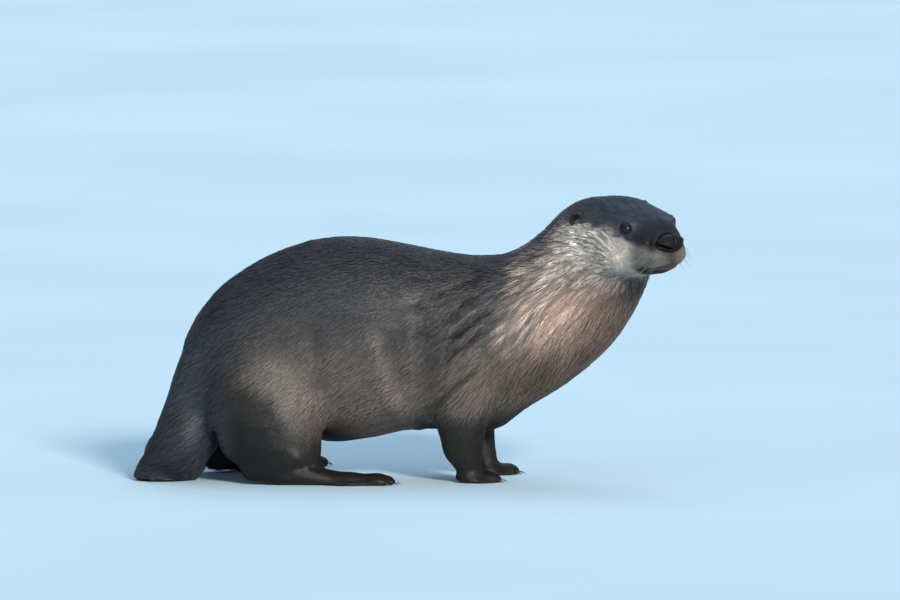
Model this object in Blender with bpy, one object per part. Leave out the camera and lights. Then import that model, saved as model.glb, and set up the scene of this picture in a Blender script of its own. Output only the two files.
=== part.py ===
"""A life-size North American river otter that stands on all four feet with its head turned to its right.

Lengths are in millimetres until the last step, which scales the finished pieces to metres.
+X runs from rump to chest, +Y to the animal's left and +Z up. The coat's outer surface is modelled:
lofts along the spine, head, limbs and tail are fused by voxel remeshing, softened where limbs meet the trunk,
and parted into named pieces by thin cuts.
"""

import math

import bmesh
import bpy
import numpy as np
from mathutils import Matrix, Vector

# Driving dimensions, in millimetres.
GAP = 0.3
FLOOR_TRIM = 1.2
COARSE_VOXEL = 3.0
FINE_VOXEL = 2.0
BODY_TRIANGLES = 3350
FACE_CARE = 3.0
RING_SIDES = 40
CELL_VOXEL = 5.0
CELL_MARGIN = 6.0
CELL_TRIANGLES = 90
STEPS_PER_STATION = 6

HEAD_YAW = 50.0
HEAD_PITCH = 8.0
HEAD_ROLL = 5.0
HEAD_PIVOT = Vector((245.0, -8.0, 257.0))

EYE_RADIUS = 6.0
EYE_PLACE = (67.5, 28.0, 11.5)
EAR_PLACE = (8.0, 44.0, 8.5)
EAR_TURN = 48.0
EAR_RADII = (4.6, 8.0, 8.0)
EAR_HOLLOW = (4.8, 5.8, 5.9)

FUR_BROWN = (0.060, 0.043, 0.034)
FUR_PALE = (0.300, 0.235, 0.180)
NOSE_BLACK = (0.012, 0.011, 0.012)
CLAW_HORN = (0.080, 0.060, 0.045)
EYE_BLACK = (0.010, 0.008, 0.007)
LOOKS = {"neck": "pale_fur", "nose_pad": "nose_leather", "eye": "eye", "claw": "claw_horn"}
MILLIMETRE = 0.001

SIDES = {"right": -1, "left": 1}

# Trunk sections, rear to front: name, back (x, z), belly (x, z), half width, how much narrower the
# back is, sideways place of the middle, and how far the section is turned about Z, in degrees.
TRUNK = (
    ("tail_root", (-178, 138), (-134, 86), 36, 0.00, 0, 0),
    ("rump", (-161, 170), (-120, 78), 46, 0.02, 0, 0),
    ("hips", (-133, 200), (-98, 68), 56, 0.04, 0, 0),
    ("loin", (-91, 226), (-68, 50), 63, 0.06, 0, 0),
    ("flank", (-45, 242), (-32, 38), 67, 0.08, 0, 0),
    ("belly", (0, 245), (12, 42), 69, 0.09, 0, 0),
    ("ribs", (45, 238), (60, 51), 68, 0.09, 0, 0),
    ("chest", (85, 230), (129, 48), 66, 0.08, 0, 0),
    ("shoulders", (119, 226), (168, 72), 62, 0.06, 0, 0),
    ("neck_base", (149, 229), (214, 101), 57, 0.04, -1, -5),
    ("neck", (177, 247), (256, 140), 53, 0.02, -4, -16),
    ("throat", (204, 275), (281, 183), 52, 0.00, -11, -32),
    ("nape", (228, 286), (287, 214), 47, 0.00, -19, -46),
    ("gullet", (251, 279), (288, 232), 34, 0.00, -25, -50),
)

# Head sections in the head's frame: name, forward, top, widest level, bottom, half width, crown's roundness.
HEAD = (
    ("nape", -30, 17, -12, -38, 30, 0.95),
    ("crown", -12, 27, -8, -50, 43, 0.88),
    ("ears", 6, 31, -6, -54, 48, 0.82),
    ("cheeks", 27, 30.5, -8, -52, 47, 0.76),
    ("temples", 47, 28, -9, -46, 42.5, 0.72),
    ("eyes", 64, 24.5, -9, -40, 37, 0.72),
    ("bridge", 78, 19, -9, -35.5, 31.5, 0.78),
    ("muzzle", 90, 13.5, -10, -31.5, 27, 0.85),
    ("lips", 99, 8.5, -10, -26, 20.5, 0.92),
    ("snout_tip", 104.5, 2, -9, -20, 11, 1.0),
)
JAW_ROUNDNESS = 0.92

# Tail path: centre (x, y, z), half thickness, half width. It drops from the rump, bends on the floor and
# points to the animal's left.
TAIL = (
    (-138, 0, 122, 41, 38),
    (-152, -7, 92, 39, 36),
    (-164, -16, 62, 35.5, 33),
    (-177, -24, 39, 31, 29.5),
    (-187, -19, 27.5, 27.5, 27),
    (-192, 8, 24, 24, 25),
    (-194, 44, 21, 21, 22.5),
    (-194, 82, 18.5, 18.5, 20.5),
    (-190, 118, 16.5, 16.5, 18),
    (-182, 153, 14, 14, 15.5),
    (-171, 186, 11.5, 11.5, 13),
    (-157, 216, 9, 9, 10.5),
    (-144, 238, 6.5, 6.5, 7),
    (-137, 249, 5, 4, 3.5),
)

# Limb paths, as for a left limb: centre (x, outward, z), then fore-aft and sideways radii.
FORE_LIMB = (
    (118, 30, 164, 30, 18),
    (114, 38, 138, 40, 24),
    (106, 45, 106, 37, 23),
    (101, 48, 74, 31, 20.5),
    (102, 48, 48, 24, 17.5),
    (104, 46, 27, 19, 15.5),
    (109, 45, 13, 13, 13),
)
THIGH = (
    (-90, 24, 172, 30, 16),
    (-92, 33, 146, 46, 25),
    (-94, 42, 112, 57, 29),
    (-92, 48, 78, 58, 29),
    (-90, 53, 50, 54, 26),
    (-86, 56, 30, 50, 21),
    (-80, 58, 18, 41, 14),
)
SHANK = (
    (-60, 60, 36, 22, 18),
    (-76, 60, 27, 21, 17),
    (-96, 60, 18, 19, 14),
    (-110, 60, 13, 12, 11),
    (-118, 60, 11, 5, 6),
)
INSTEP = (
    (-112, 60, 11, 9, 10),
    (-88, 60, 11, 13, 13),
    (-60, 60, 10, 12, 16),
    (-32, 60, 7.5, 8.5, 17),
    (-10, 60, 6.5, 6.4, 17),
    (8, 60, 5, 3.5, 12),
)
ANKLE = (-100, 60)

# Where the pieces part: a point and the direction in which the named piece lies. The head's are in its frame.
PAW_CUT = {"fore": ((107, 46, 23), (0.35, 0, -0.94)), "hind": ((-70, 60, 13), (0.45, 0, -0.89))}
HEAD_CUT = (-2, 0, 0)
HEAD_CUT_NORMAL = (0.77, 0, 0.64)
SPINE_CUTS = (
    ("neck", (181, 0, 165), (0.891, 0, 0.453)),
    ("tail_root", (-146, 0, 124), (-0.913, 0, -0.407)),
)
TAIL_CUTS = (
    ("tail_middle", (-193, 22, 24), (-0.1, 0.99, 0)),
    ("tail_tip", (-182, 150, 15), (0.25, 0.97, 0)),
)
TRUNK_CUTS = (
    ("trunk_chest", (62, 0, 140), (1, 0, 0)),
    ("trunk_hips", (-58, 0, 140), (-1, 0, 0)),
)
NOSE_PAD = ((100, 0, 1), (9.5, 16.5, 10.2))
# Forms of the face, in the head's frame: name, middle (forward, outward, up), radii, and turn for the pairs.
FACE_PAIRS = (
    ("whisker_pad", (91, 13, -12), (13.5, 13, 11.5), (0, 0)),
    ("cheek", (38, 29, -18), (32, 16, 22), (0, 0)),
    ("brow", (60, 25, 13.5), (17, 11, 8.5), (8, -12)),
)
FACE_MIDDLES = (
    ("chin", (80, 0, -24), (17, 16.5, 10)),
    ("nose_swell", (97.5, 0, -0.5), (8.5, 16.0, 10.2)),
)
# where the fused surface is smoothed: middle, reach and rounds, all over and then in the head's frame
ALL_OVER = ((0, 0, 100), 900, 2)
HEAD_SOFT = (((-6, 0, -12), 62, 8), ((60, 0, -8), 62, 3), ((20, -42, -22), 40, 24), ((20, 42, -22), 34, 16))
FACE_MIDDLE = (72, 0, -8)
FACE_REACH = 52
# the thick heel of the tail, pressed on the floor where it turns
TAIL_HEEL = ((-199, -16, 0), (29, 26, 33))

# How each limb differs from the tables: forward and outward shift of its foot, and the foot's turn outwards.
ROOT_HEIGHT = 150.0
TURN_HEIGHTS = (66.0, 40.0)
LIMB_STANCE = {
    ("fore", "right"): (0.0, -6.0, 0.0),
    ("fore", "left"): (20.0, -6.0, 0.0),
    ("hind", "right"): (0.0, 0.0, 0.0),
    ("hind", "left"): (-52.0, 0.0, 32.0),
}


def spline(rows, steps):
    """Smooth Catmull-Rom values through the rows, with the given number of steps between each two."""
    rows = np.array(rows, float)
    padded = np.vstack([2 * rows[0] - rows[1], rows, 2 * rows[-1] - rows[-2]])
    found = []
    for i in range(len(rows) - 1):
        a, b, c, d = padded[i : i + 4]
        for t in np.arange(steps) / steps:
            bend, twist = 2 * a - 5 * b + 4 * c - d, 3 * b - a - 3 * c + d
            found.append(0.5 * (2 * b + (c - a) * t + bend * t**2 + twist * t**3))
    found.append(rows[-1])
    return np.array(found)


def link(name, mesh):
    obj = bpy.data.objects.new(name, mesh)
    bpy.context.scene.collection.objects.link(obj)
    return obj


def object_from(bm, name):
    bmesh.ops.recalc_face_normals(bm, faces=bm.faces)
    mesh = bpy.data.meshes.new(name)
    bm.to_mesh(mesh)
    bm.free()
    return link(name, mesh)


def tube(name, rings):
    """A closed loft through rings of points, each ring with the same count."""
    bm = bmesh.new()
    loops = []
    for ring in rings:
        verts = [bm.verts.new(point) for point in ring]
        loops.append([bm.edges.new((a, b)) for a, b in zip(verts, verts[1:] + verts[:1])])
    for near, far in zip(loops, loops[1:]):
        bmesh.ops.bridge_loops(bm, edges=near + far)
    bmesh.ops.edgeloop_fill(bm, edges=loops[0])
    bmesh.ops.edgeloop_fill(bm, edges=loops[-1])
    return object_from(bm, name)


def turn_angles():
    return [2 * math.pi * i / RING_SIDES for i in range(RING_SIDES)]


def trunk_rings():
    rows = [(*back, *belly, *rest) for _, back, belly, *rest in TRUNK]
    rings = []
    for back_x, back_z, belly_x, belly_z, width, narrow, sideways, turned in spline(rows, STEPS_PER_STATION):
        centre = Vector(((back_x + belly_x) / 2, sideways, (back_z + belly_z) / 2))
        turn = Matrix.Rotation(math.radians(turned), 3, "Z")
        up = turn @ Vector(((back_x - belly_x) / 2, 0, 0)) + Vector((0, 0, (back_z - belly_z) / 2))
        across = turn @ Vector((0, 1, 0))
        ring = []
        for angle in turn_angles():
            side, rise = math.cos(angle), math.sin(angle)
            ring.append(centre + up * rise + across * width * (1 - narrow * rise) * side)
        rings.append(ring)
    return rings


def rounded(value, fullness):
    """A sine or cosine pushed outwards, so that a section is fuller than an ellipse."""
    return math.copysign(abs(value) ** fullness, value)


def head_rings():
    rows = [row[1:] for row in HEAD]
    rings = []
    for forward, top, level, bottom, width, roundness in spline(rows, STEPS_PER_STATION):
        ring = []
        for angle in turn_angles():
            fullness = roundness if math.sin(angle) > 0 else JAW_ROUNDNESS
            side, rise = rounded(math.cos(angle), fullness), rounded(math.sin(angle), fullness)
            reach = (top - level) if rise > 0 else (level - bottom)
            ring.append(Vector((forward, width * side, level + reach * rise)))
        rings.append(ring)
    return rings


def path_rings(rows, upright=False):
    """Rings across a path of (x, y, z, radius, side radius), where the side radius lies level.

    With upright set, the whole ring lies level, and the first radius points forwards.
    """
    points = spline(rows, STEPS_PER_STATION)
    centres = [Vector(p[:3]) for p in points]
    rings = []
    for i, row in enumerate(points):
        ahead = centres[min(i + 1, len(centres) - 1)] - centres[max(i - 1, 0)]
        along = Vector((0, 0, -1)) if upright else ahead.normalized()
        across = along.cross(Vector((0, 0, 1)))
        across = Vector((0, 1, 0)) if across.length < 0.2 else across.normalized()
        out = across.cross(along).normalized()
        wide, deep = across * row[4], out * row[3]
        rings.append([centres[i] + wide * math.cos(a) + deep * math.sin(a) for a in turn_angles()])
    return rings


def head_matrix():
    turned = Matrix.Rotation(math.radians(-HEAD_YAW), 4, "Z")
    nodded = Matrix.Rotation(math.radians(HEAD_PITCH), 4, "Y")
    leaned = Matrix.Rotation(math.radians(HEAD_ROLL), 4, "X")
    return Matrix.Translation(HEAD_PIVOT) @ turned @ nodded @ leaned


def ball(name, centre, radii, turn=(0, 0, 0), segments=32):
    """An ellipsoid, turned by degrees about X, Y and Z."""
    bm = bmesh.new()
    bmesh.ops.create_uvsphere(bm, u_segments=segments, v_segments=segments // 2, radius=1)
    place = Matrix.Translation(Vector(centre))
    for axis, degrees in zip("XYZ", turn):
        place = place @ Matrix.Rotation(math.radians(degrees), 4, axis)
    bmesh.ops.transform(bm, matrix=place @ Matrix.Diagonal((*radii, 1)), verts=bm.verts)
    return object_from(bm, name)


def moved(obj, matrix):
    obj.data.transform(matrix)
    return obj


def joined(name, objects):
    bm = bmesh.new()
    for obj in objects:
        bm.from_mesh(obj.data)
        bpy.data.objects.remove(obj)
    return object_from_shells(bm, name)


def object_from_shells(bm, name):
    mesh = bpy.data.meshes.new(name)
    bm.to_mesh(mesh)
    bm.free()
    return link(name, mesh)


def settled(obj):
    """Applies the object's modifiers to its mesh."""
    bpy.context.view_layer.update()
    graph = bpy.context.evaluated_depsgraph_get()
    mesh = bpy.data.meshes.new_from_object(obj.evaluated_get(graph))
    obj.modifiers.clear()
    obj.data = mesh
    return obj


def fused(obj, voxel):
    """One skin round overlapping shells."""
    remesh = obj.modifiers.new("fuse", "REMESH")
    remesh.mode = "VOXEL"
    remesh.voxel_size = voxel
    return settled(obj)


def softened(obj, places):
    """Smooths the surface near each (centre, radius, rounds), so that a limb flows into the trunk."""
    bm = bmesh.new()
    bm.from_mesh(obj.data)
    axes = dict(use_axis_x=True, use_axis_y=True, use_axis_z=True)
    for centre, radius, rounds in places:
        near = [v for v in bm.verts if (v.co - Vector(centre)).length < radius]
        for _ in range(rounds):
            bmesh.ops.smooth_vert(bm, verts=near, factor=0.5, **axes)
    bm.to_mesh(obj.data)
    bm.free()
    return obj


def thinned(obj, triangles, face=None):
    """Fewer triangles, where the surface allows, and more of them kept within a (centre, radius)."""
    obj.data.calc_loop_triangles()
    decimate = obj.modifiers.new("thin", "DECIMATE")
    decimate.ratio = triangles / len(obj.data.loop_triangles)
    decimate.use_collapse_triangulate = True
    if face:
        group = obj.vertex_groups.new(name="spare")
        for vert in obj.data.vertices:
            group.add([vert.index], 0.5 if (vert.co - face[0]).length < face[1] else 1.0, "REPLACE")
        decimate.vertex_group = group.name
        decimate.vertex_group_factor = FACE_CARE
    return settled(obj)


def swollen(obj, amount):
    """The object's surface moved out by an amount."""
    swell = obj.modifiers.new("swell", "DISPLACE")
    swell.mid_level = 0
    swell.strength = amount
    return settled(obj)


def copy_of(obj, name):
    return link(name, obj.data.copy())


def combined(obj, other, operation):
    """A Boolean of two objects, applied. The other object stays."""
    boolean = obj.modifiers.new(operation.lower(), "BOOLEAN")
    boolean.operation = operation
    boolean.object = other
    boolean.solver = "EXACT"
    return settled(obj)


def largest_shell(obj):
    """Drops the slivers that a cut leaves beside the main piece."""
    bm = bmesh.new()
    bm.from_mesh(obj.data)
    bmesh.ops.remove_doubles(bm, verts=bm.verts, dist=0.002)
    bmesh.ops.dissolve_degenerate(bm, edges=bm.edges, dist=0.002)
    left = set(bm.verts)
    shells = []
    while left:
        todo = [left.pop()]
        shell = set(todo)
        while todo:
            for edge in todo.pop().link_edges:
                for vert in edge.verts:
                    if vert in left:
                        left.discard(vert)
                        shell.add(vert)
                        todo.append(vert)
        shells.append(shell)
    shells.sort(key=len)
    for shell in shells[:-1]:
        bmesh.ops.delete(bm, geom=list(shell), context="VERTS")
    bmesh.ops.triangulate(bm, faces=bm.faces)
    bm.to_mesh(obj.data)
    bm.free()
    return obj


def stood(point, limb, side):
    """A point of the limb tables in its place on one limb. The root stays and the foot takes the whole shift."""
    forward, outward, degrees = LIMB_STANCE[limb, side]
    x, y, z = point
    high, low = TURN_HEIGHTS
    angle = math.radians(degrees) * min(max((high - z) / (high - low), 0), 1)
    along, across = x - ANKLE[0], y - ANKLE[1]
    x = ANKLE[0] + along * math.cos(angle) - across * math.sin(angle)
    y = ANKLE[1] + along * math.sin(angle) + across * math.cos(angle)
    share = (1 - min(z / ROOT_HEIGHT, 1)) ** 2
    return Vector((x + forward * share, SIDES[side] * (y + outward * share), z))


def limb_rows(rows, limb, side):
    return [(*stood(row[:3], limb, side), *row[3:]) for row in rows]


# Toes: angle from straight ahead (inner to outer), reach from the paw's middle, radius at the knuckle.
FORE_TOES = ((-34, 21, 4.2), (-16, 26, 4.7), (0, 29, 4.9), (17, 26, 4.7), (36, 20, 4.2))
HIND_TOES = ((-24, 33, 4.4), (-11, 42, 5.2), (1, 47, 5.4), (13, 46, 5.4), (26, 41, 5.0))
PAW_MIDDLE = {"fore": (114, 45, 6.5), "hind": (-10, 60, 6.0)}
CLAW_LENGTH = {"fore": 10.0, "hind": 9.5}
CLAW_GIRTH = 1.8
CLAW_TAPER = 0.84
CLAW_FLATNESS = 0.8
CLAW_HOOK = 2.6
CLAW_RINGS = 5
CLAW_SIDES = 6
CLAW_CLEARANCE = 0.5


def paw_middle(limb, side):
    return stood(PAW_MIDDLE[limb], limb, side)


def toe_lines(limb, side):
    """For each toe, its direction on the floor, its reach and its radius."""
    toes = FORE_TOES if limb == "fore" else HIND_TOES
    for degrees, reach, radius in toes:
        angle = math.radians(SIDES[side] * (degrees + LIMB_STANCE[limb, side][2]))
        yield Vector((math.cos(angle), math.sin(angle), 0)), reach, radius


def paw(limb, side):
    """Palm, toes and the web between them, as overlapping shells."""
    middle = paw_middle(limb, side)
    palm = (15, 16.5, 9.5) if limb == "fore" else (26, 18, 7.5)
    web_radii = (22, 19, 3.4) if limb == "fore" else (38, 26, 3.2)
    turn = (0, 0, SIDES[side] * LIMB_STANCE[limb, side][2])
    ahead = Matrix.Rotation(math.radians(turn[2]), 3, "Z") @ Vector((1, 0, 0))
    shells = [
        ball("palm", middle - ahead * 4 + Vector((0, 0, 0.5)), palm, turn),
        ball("web", middle + ahead * 5 - Vector((0, 0, 2.9)), web_radii, turn),
    ]
    for direction, reach, radius in toe_lines(limb, side):
        start = middle + direction * (reach * 0.25) + Vector((0, 0, 2.0))
        knuckle = middle + direction * (reach * 0.68) + Vector((0, 0, 1.2))
        end = middle + direction * (reach - radius * 0.7) + Vector((0, 0, radius * 0.72 - middle.z))
        rows = [
            (*start, radius * 0.8, radius * 0.8),
            (*knuckle, radius, radius),
            (*end, radius * 0.85, radius * 0.85),
            (*(end + direction * radius * 0.8), radius * 0.3, radius * 0.3),
        ]
        shells.append(tube("toe", path_rings(rows)))
    return shells


def claw(name, limb, tip, direction, radius):
    """A curved cone that leaves the toe's end and bends to the floor."""
    root = tip - direction * (radius * 1.3) + Vector((0, 0, radius * 0.62))
    across = direction.cross(Vector((0, 0, 1)))
    rings = []
    for i in range(CLAW_RINGS):
        t = i / (CLAW_RINGS - 1)
        centre = root + direction * CLAW_LENGTH[limb] * (0.15 + t) - Vector((0, 0, CLAW_HOOK * t * t))
        girth = CLAW_GIRTH * (1 - CLAW_TAPER * t)
        wide, deep = across * girth * CLAW_FLATNESS, Vector((0, 0, girth))
        turns = [2 * math.pi * k / CLAW_SIDES for k in range(CLAW_SIDES)]
        rings.append([centre + wide * math.cos(a) + deep * math.sin(a) for a in turns])
    made = tube(name, rings)
    lowest = min(v.co.z for v in made.data.vertices)
    return moved(made, Matrix.Translation((0, 0, max(0, CLAW_CLEARANCE - lowest))))


def ear(name, side):
    """A low round cup on the side of the head, open forwards and outwards."""
    forward, out, rise = EAR_PLACE
    angle = math.radians(EAR_TURN)
    turn = (0, 0, SIDES[side] * EAR_TURN)
    centre = Vector((forward, SIDES[side] * out, rise))
    opening = Vector((math.cos(angle), SIDES[side] * math.sin(angle), 0.1))
    cup = ball(name, centre, EAR_RADII, turn, segments=12)
    hollow = ball("hollow", centre + opening * EAR_RADII[0], EAR_HOLLOW, turn, segments=10)
    combined(cup, hollow, "DIFFERENCE")
    bpy.data.objects.remove(hollow)
    return moved(cup, head_matrix())


def face_shells():
    """Whisker pads, cheeks, brows, chin and the swelling under the nose pad."""
    shells = []
    for sign in SIDES.values():
        for name, (forward, out, rise), radii, (tilt, spread) in FACE_PAIRS:
            shells.append(ball(name, (forward, sign * out, rise), radii, turn=(0, tilt, sign * spread)))
    shells += [ball(name, middle, radii) for name, middle, radii in FACE_MIDDLES]
    return [moved(shell, head_matrix()) for shell in shells]


def half_space(name, point, normal, size=900.0):
    """A large box whose near face passes through a point and which lies on the normal's side."""
    bm = bmesh.new()
    bmesh.ops.create_cube(bm, size=size)
    normal = Vector(normal).normalized()
    turn = normal.to_track_quat("Z", "Y").to_matrix().to_4x4()
    place = Matrix.Translation(Vector(point) + normal * size / 2) @ turn
    bmesh.ops.transform(bm, matrix=place, verts=bm.verts)
    return object_from(bm, name)


def parted(whole, name, cell, swell=True):
    """Cuts the part inside a cell out of the whole, leaving a gap, and returns it."""
    piece = copy_of(whole, name)
    combined(piece, cell, "INTERSECT")
    if swell:
        swollen(cell, GAP)
    combined(whole, cell, "DIFFERENCE")
    bpy.data.objects.remove(cell)
    largest_shell(whole)
    return largest_shell(piece)


def parted_by_plane(whole, name, point, normal):
    """Cuts off the part on the normal's side of a plane."""
    direction = Vector(normal).normalized()
    piece = copy_of(whole, name)
    ahead = half_space("ahead", point, direction)
    combined(piece, ahead, "INTERSECT")
    bpy.data.objects.remove(ahead)
    wider = half_space("ahead", Vector(point) - direction * GAP, direction)
    combined(whole, wider, "DIFFERENCE")
    bpy.data.objects.remove(wider)
    largest_shell(whole)
    return largest_shell(piece)


def whole_body():
    """The fused body without ears, eyes and claws, and the limb cells that part it."""
    cells = {}
    coarse = [
        tube("trunk_loft", trunk_rings()),
        tube("tail_loft", path_rings(TAIL)),
        ball("tail_heel", *TAIL_HEEL),
        moved(tube("head_loft", head_rings()), head_matrix()),
    ]
    paws = []
    for limb, side in LIMB_STANCE:
        if limb == "fore":
            shells = [tube("fore_loft", path_rings(limb_rows(FORE_LIMB, limb, side), upright=True))]
        else:
            shells = [
                tube("thigh_loft", path_rings(limb_rows(THIGH, limb, side), upright=True)),
                tube("shank_loft", path_rings(limb_rows(SHANK, limb, side))),
                tube("instep_loft", path_rings(limb_rows(INSTEP, limb, side))),
            ]
        toes = paw(limb, side)
        cells[limb, side] = limb_cell([copy_of(shell, "cell") for shell in shells + toes])
        coarse += shells
        paws += toes
    body = fused(joined("body", coarse), COARSE_VOXEL)
    softened(body, blend_places())
    body = fused(joined("body", [body] + face_shells() + paws), FINE_VOXEL)
    head = head_matrix()
    softened(body, [ALL_OVER] + [(head @ Vector(spot), radius, rounds) for spot, radius, rounds in HEAD_SOFT])
    return trimmed_to_floor(thinned(body, BODY_TRIANGLES, (head @ Vector(FACE_MIDDLE), FACE_REACH))), cells


def limb_cell(shells):
    """A coarse skin a little outside one limb, with which the limb is parted from the trunk."""
    cell = fused(joined("cell", shells), CELL_VOXEL)
    swollen(cell, CELL_MARGIN)
    return thinned(fused(cell, CELL_VOXEL), CELL_TRIANGLES)


def blend_places():
    """Where limbs, tail and head flow into the trunk: centre, radius and rounds of smoothing."""
    places = [
        ((-150, 0, 110), 75, 22),
        ((222, -8, 240), 66, 26),
    ]
    for limb, side in LIMB_STANCE:
        if limb == "fore":
            spots = (((106, 46, 124), 70, 24), ((98, 30, 72), 42, 16))
        else:
            spots = (((-90, 50, 128), 90, 28), ((-50, 40, 56), 44, 16), ((-104, 60, 22), 28, 10))
        places += [(stood(point, limb, side), radius, rounds) for point, radius, rounds in spots]
    return places


def trimmed_to_floor(body):
    """Sinks the soles and tail a little and cuts them flat at floor level."""
    moved(body, Matrix.Translation((0, 0, -FLOOR_TRIM)))
    above = half_space("above", (0, 0, 0), (0, 0, 1))
    combined(body, above, "INTERSECT")
    bpy.data.objects.remove(above)
    return body


def clear_scene():
    for obj in list(bpy.data.objects):
        bpy.data.objects.remove(obj)


def finish(name, colour, roughness):
    material = bpy.data.materials.new(name)
    material.use_nodes = True
    shader = material.node_tree.nodes["Principled BSDF"]
    shader.inputs["Base Color"].default_value = (*colour, 1)
    shader.inputs["Roughness"].default_value = roughness
    return material


def part_limbs(body, cells):
    """Cuts the limbs out of the body, and their paws out of the limbs."""
    pieces = []
    for (limb, side), cell in cells.items():
        whole = parted(body, f"{limb}leg_{side}", cell)
        point, normal = PAW_CUT[limb]
        degrees = SIDES[side] * LIMB_STANCE[limb, side][2]
        normal = Matrix.Rotation(math.radians(degrees), 3, "Z") @ Vector(normal)
        foot = "forepaw" if limb == "fore" else "hindfoot"
        pieces += [whole, parted_by_plane(whole, f"{foot}_{side}", stood(point, limb, side), normal)]
    return pieces


def part_spine(body):
    """Cuts the limbless body into head, neck, trunk and tail."""
    head = head_matrix()
    head_normal = head.to_3x3() @ Vector(HEAD_CUT_NORMAL)
    pieces = [parted_by_plane(body, "head", head @ Vector(HEAD_CUT), head_normal)]
    for name, point, normal in SPINE_CUTS:
        pieces.append(parted_by_plane(body, name, point, normal))
    tail = pieces[-1]
    for name, point, normal in TAIL_CUTS:
        pieces.append(parted_by_plane(tail, name, point, normal))
        tail = pieces[-1]
    for name, point, normal in TRUNK_CUTS:
        pieces.append(parted_by_plane(body, name, point, normal))
    body.name = "trunk_belly"
    return pieces + [body]


def part_face(head):
    """Sets eyes and nose pad into the head."""
    place = head_matrix()
    pieces = []
    for side, sign in SIDES.items():
        forward, out, rise = EYE_PLACE
        eye = ball(f"eye_{side}", place @ Vector((forward, sign * out, rise)), (EYE_RADIUS,) * 3, segments=14)
        socket = swollen(copy_of(eye, "socket"), GAP)
        combined(head, socket, "DIFFERENCE")
        bpy.data.objects.remove(socket)
        pieces.append(eye)
    pad = moved(ball("pad", *NOSE_PAD, segments=14), place)
    pieces.append(parted(head, "nose_pad", pad))
    return pieces


def claws():
    made = []
    for limb, side in LIMB_STANCE:
        middle = paw_middle(limb, side)
        for number, (direction, reach, radius) in enumerate(toe_lines(limb, side), 1):
            tip = middle + direction * reach
            tip.z = 0
            made.append(claw(f"{limb}claw_{side}_{number}", limb, tip, direction, radius))
    return made


def settle_in_frame(pieces):
    """Scales to metres, with the origin at the bottom centre of the box round all pieces."""
    corners = np.array([v.co[:] for piece in pieces for v in piece.data.vertices])
    low, high = corners.min(axis=0), corners.max(axis=0)
    middle = Vector((low + high) / 2)
    middle.z = low[2]
    for piece in pieces:
        moved(piece, Matrix.Diagonal((MILLIMETRE,) * 3 + (1,)) @ Matrix.Translation(-middle))


def main():
    clear_scene()
    body, cells = whole_body()
    skin = swollen(copy_of(body, "skin"), GAP)
    added = claws() + [ear(f"ear_{side}", side) for side in SIDES]
    for piece in added:
        combined(piece, skin, "DIFFERENCE")
        largest_shell(piece)
    bpy.data.objects.remove(skin)
    pieces = added + part_limbs(body, cells) + part_spine(body)
    head = next(piece for piece in pieces if piece.name == "head")
    pieces += part_face(head)
    settle_in_frame(pieces)
    looks = {
        "brown_fur": finish("brown_fur", FUR_BROWN, 0.85),
        "pale_fur": finish("pale_fur", FUR_PALE, 0.85),
        "nose_leather": finish("nose_leather", NOSE_BLACK, 0.35),
        "eye": finish("eye", EYE_BLACK, 0.08),
        "claw_horn": finish("claw_horn", CLAW_HORN, 0.4),
    }
    for piece in pieces:
        look = next((look for start, look in LOOKS.items() if start in piece.name), "brown_fur")
        piece.data.materials.clear()
        piece.data.materials.append(looks[look])


main()
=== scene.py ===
import heapq
import math

import bmesh
import bpy
import numpy as np
from mathutils import Matrix, Vector
from mathutils.bvhtree import BVHTree
from mathutils.kdtree import KDTree


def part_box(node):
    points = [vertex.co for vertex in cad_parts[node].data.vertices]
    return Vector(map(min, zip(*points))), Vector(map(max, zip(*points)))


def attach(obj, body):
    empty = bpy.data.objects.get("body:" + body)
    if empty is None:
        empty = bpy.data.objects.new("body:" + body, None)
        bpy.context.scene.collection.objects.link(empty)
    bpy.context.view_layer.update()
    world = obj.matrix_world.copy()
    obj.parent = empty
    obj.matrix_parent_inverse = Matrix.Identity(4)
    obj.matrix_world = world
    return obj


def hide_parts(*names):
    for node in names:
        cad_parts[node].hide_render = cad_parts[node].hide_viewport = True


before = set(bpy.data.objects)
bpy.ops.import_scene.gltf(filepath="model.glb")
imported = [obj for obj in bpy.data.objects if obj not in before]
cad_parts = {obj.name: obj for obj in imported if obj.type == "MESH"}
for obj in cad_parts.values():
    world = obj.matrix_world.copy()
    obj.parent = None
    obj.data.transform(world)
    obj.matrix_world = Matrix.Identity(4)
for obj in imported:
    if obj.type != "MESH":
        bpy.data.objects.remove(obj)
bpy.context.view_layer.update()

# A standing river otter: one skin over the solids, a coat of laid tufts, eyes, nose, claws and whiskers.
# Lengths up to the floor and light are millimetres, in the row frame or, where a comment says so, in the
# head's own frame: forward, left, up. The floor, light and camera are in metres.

MM = 0.001
SEED = 20
SIDES = (("right", -1), ("left", 1))

# ---------------------------------------------------------------- sizes and places

HEAD_PIVOT = (196.2, -84.7, 257.0)
HEAD_YAW, HEAD_PITCH, HEAD_ROLL = -50, 8, 5

LIMBS = [f"{part}_{side}" for side, _ in SIDES for part in ("foreleg", "forepaw", "hindleg", "hindfoot")]
TRUNK = ["neck", "trunk_chest", "trunk_belly", "trunk_hips", "tail_root", "tail_middle", "tail_tip"]
FLESH = ["head"] + TRUNK + LIMBS

SKIN_VOXEL, EAR_VOXEL = 2.2, 0.8
GAP_CLOSING = 0.35
FLOOR_CLEARANCE = 0.25

# where the skin gets a finer mesh: the face forward of and above, the feet below, and round the eyes
FACE_FROM, FACE_ABOVE = 42, -45
FORE_FEET_BELOW, FORE_FEET_FROM = 26, 25
HIND_FEET_BELOW, HIND_FEET_FROM, HIND_FEET_TO = 24, -120, 0
FINE_ROUND_EYE = 15
# how the facets are smoothed out: in, back out again, and how often, at first and on the finer mesh
SMOOTH_IN, SMOOTH_OUT = 0.55, 0.57
SMOOTH_ROUNDS, FINE_ROUNDS = 14, 5

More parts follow.
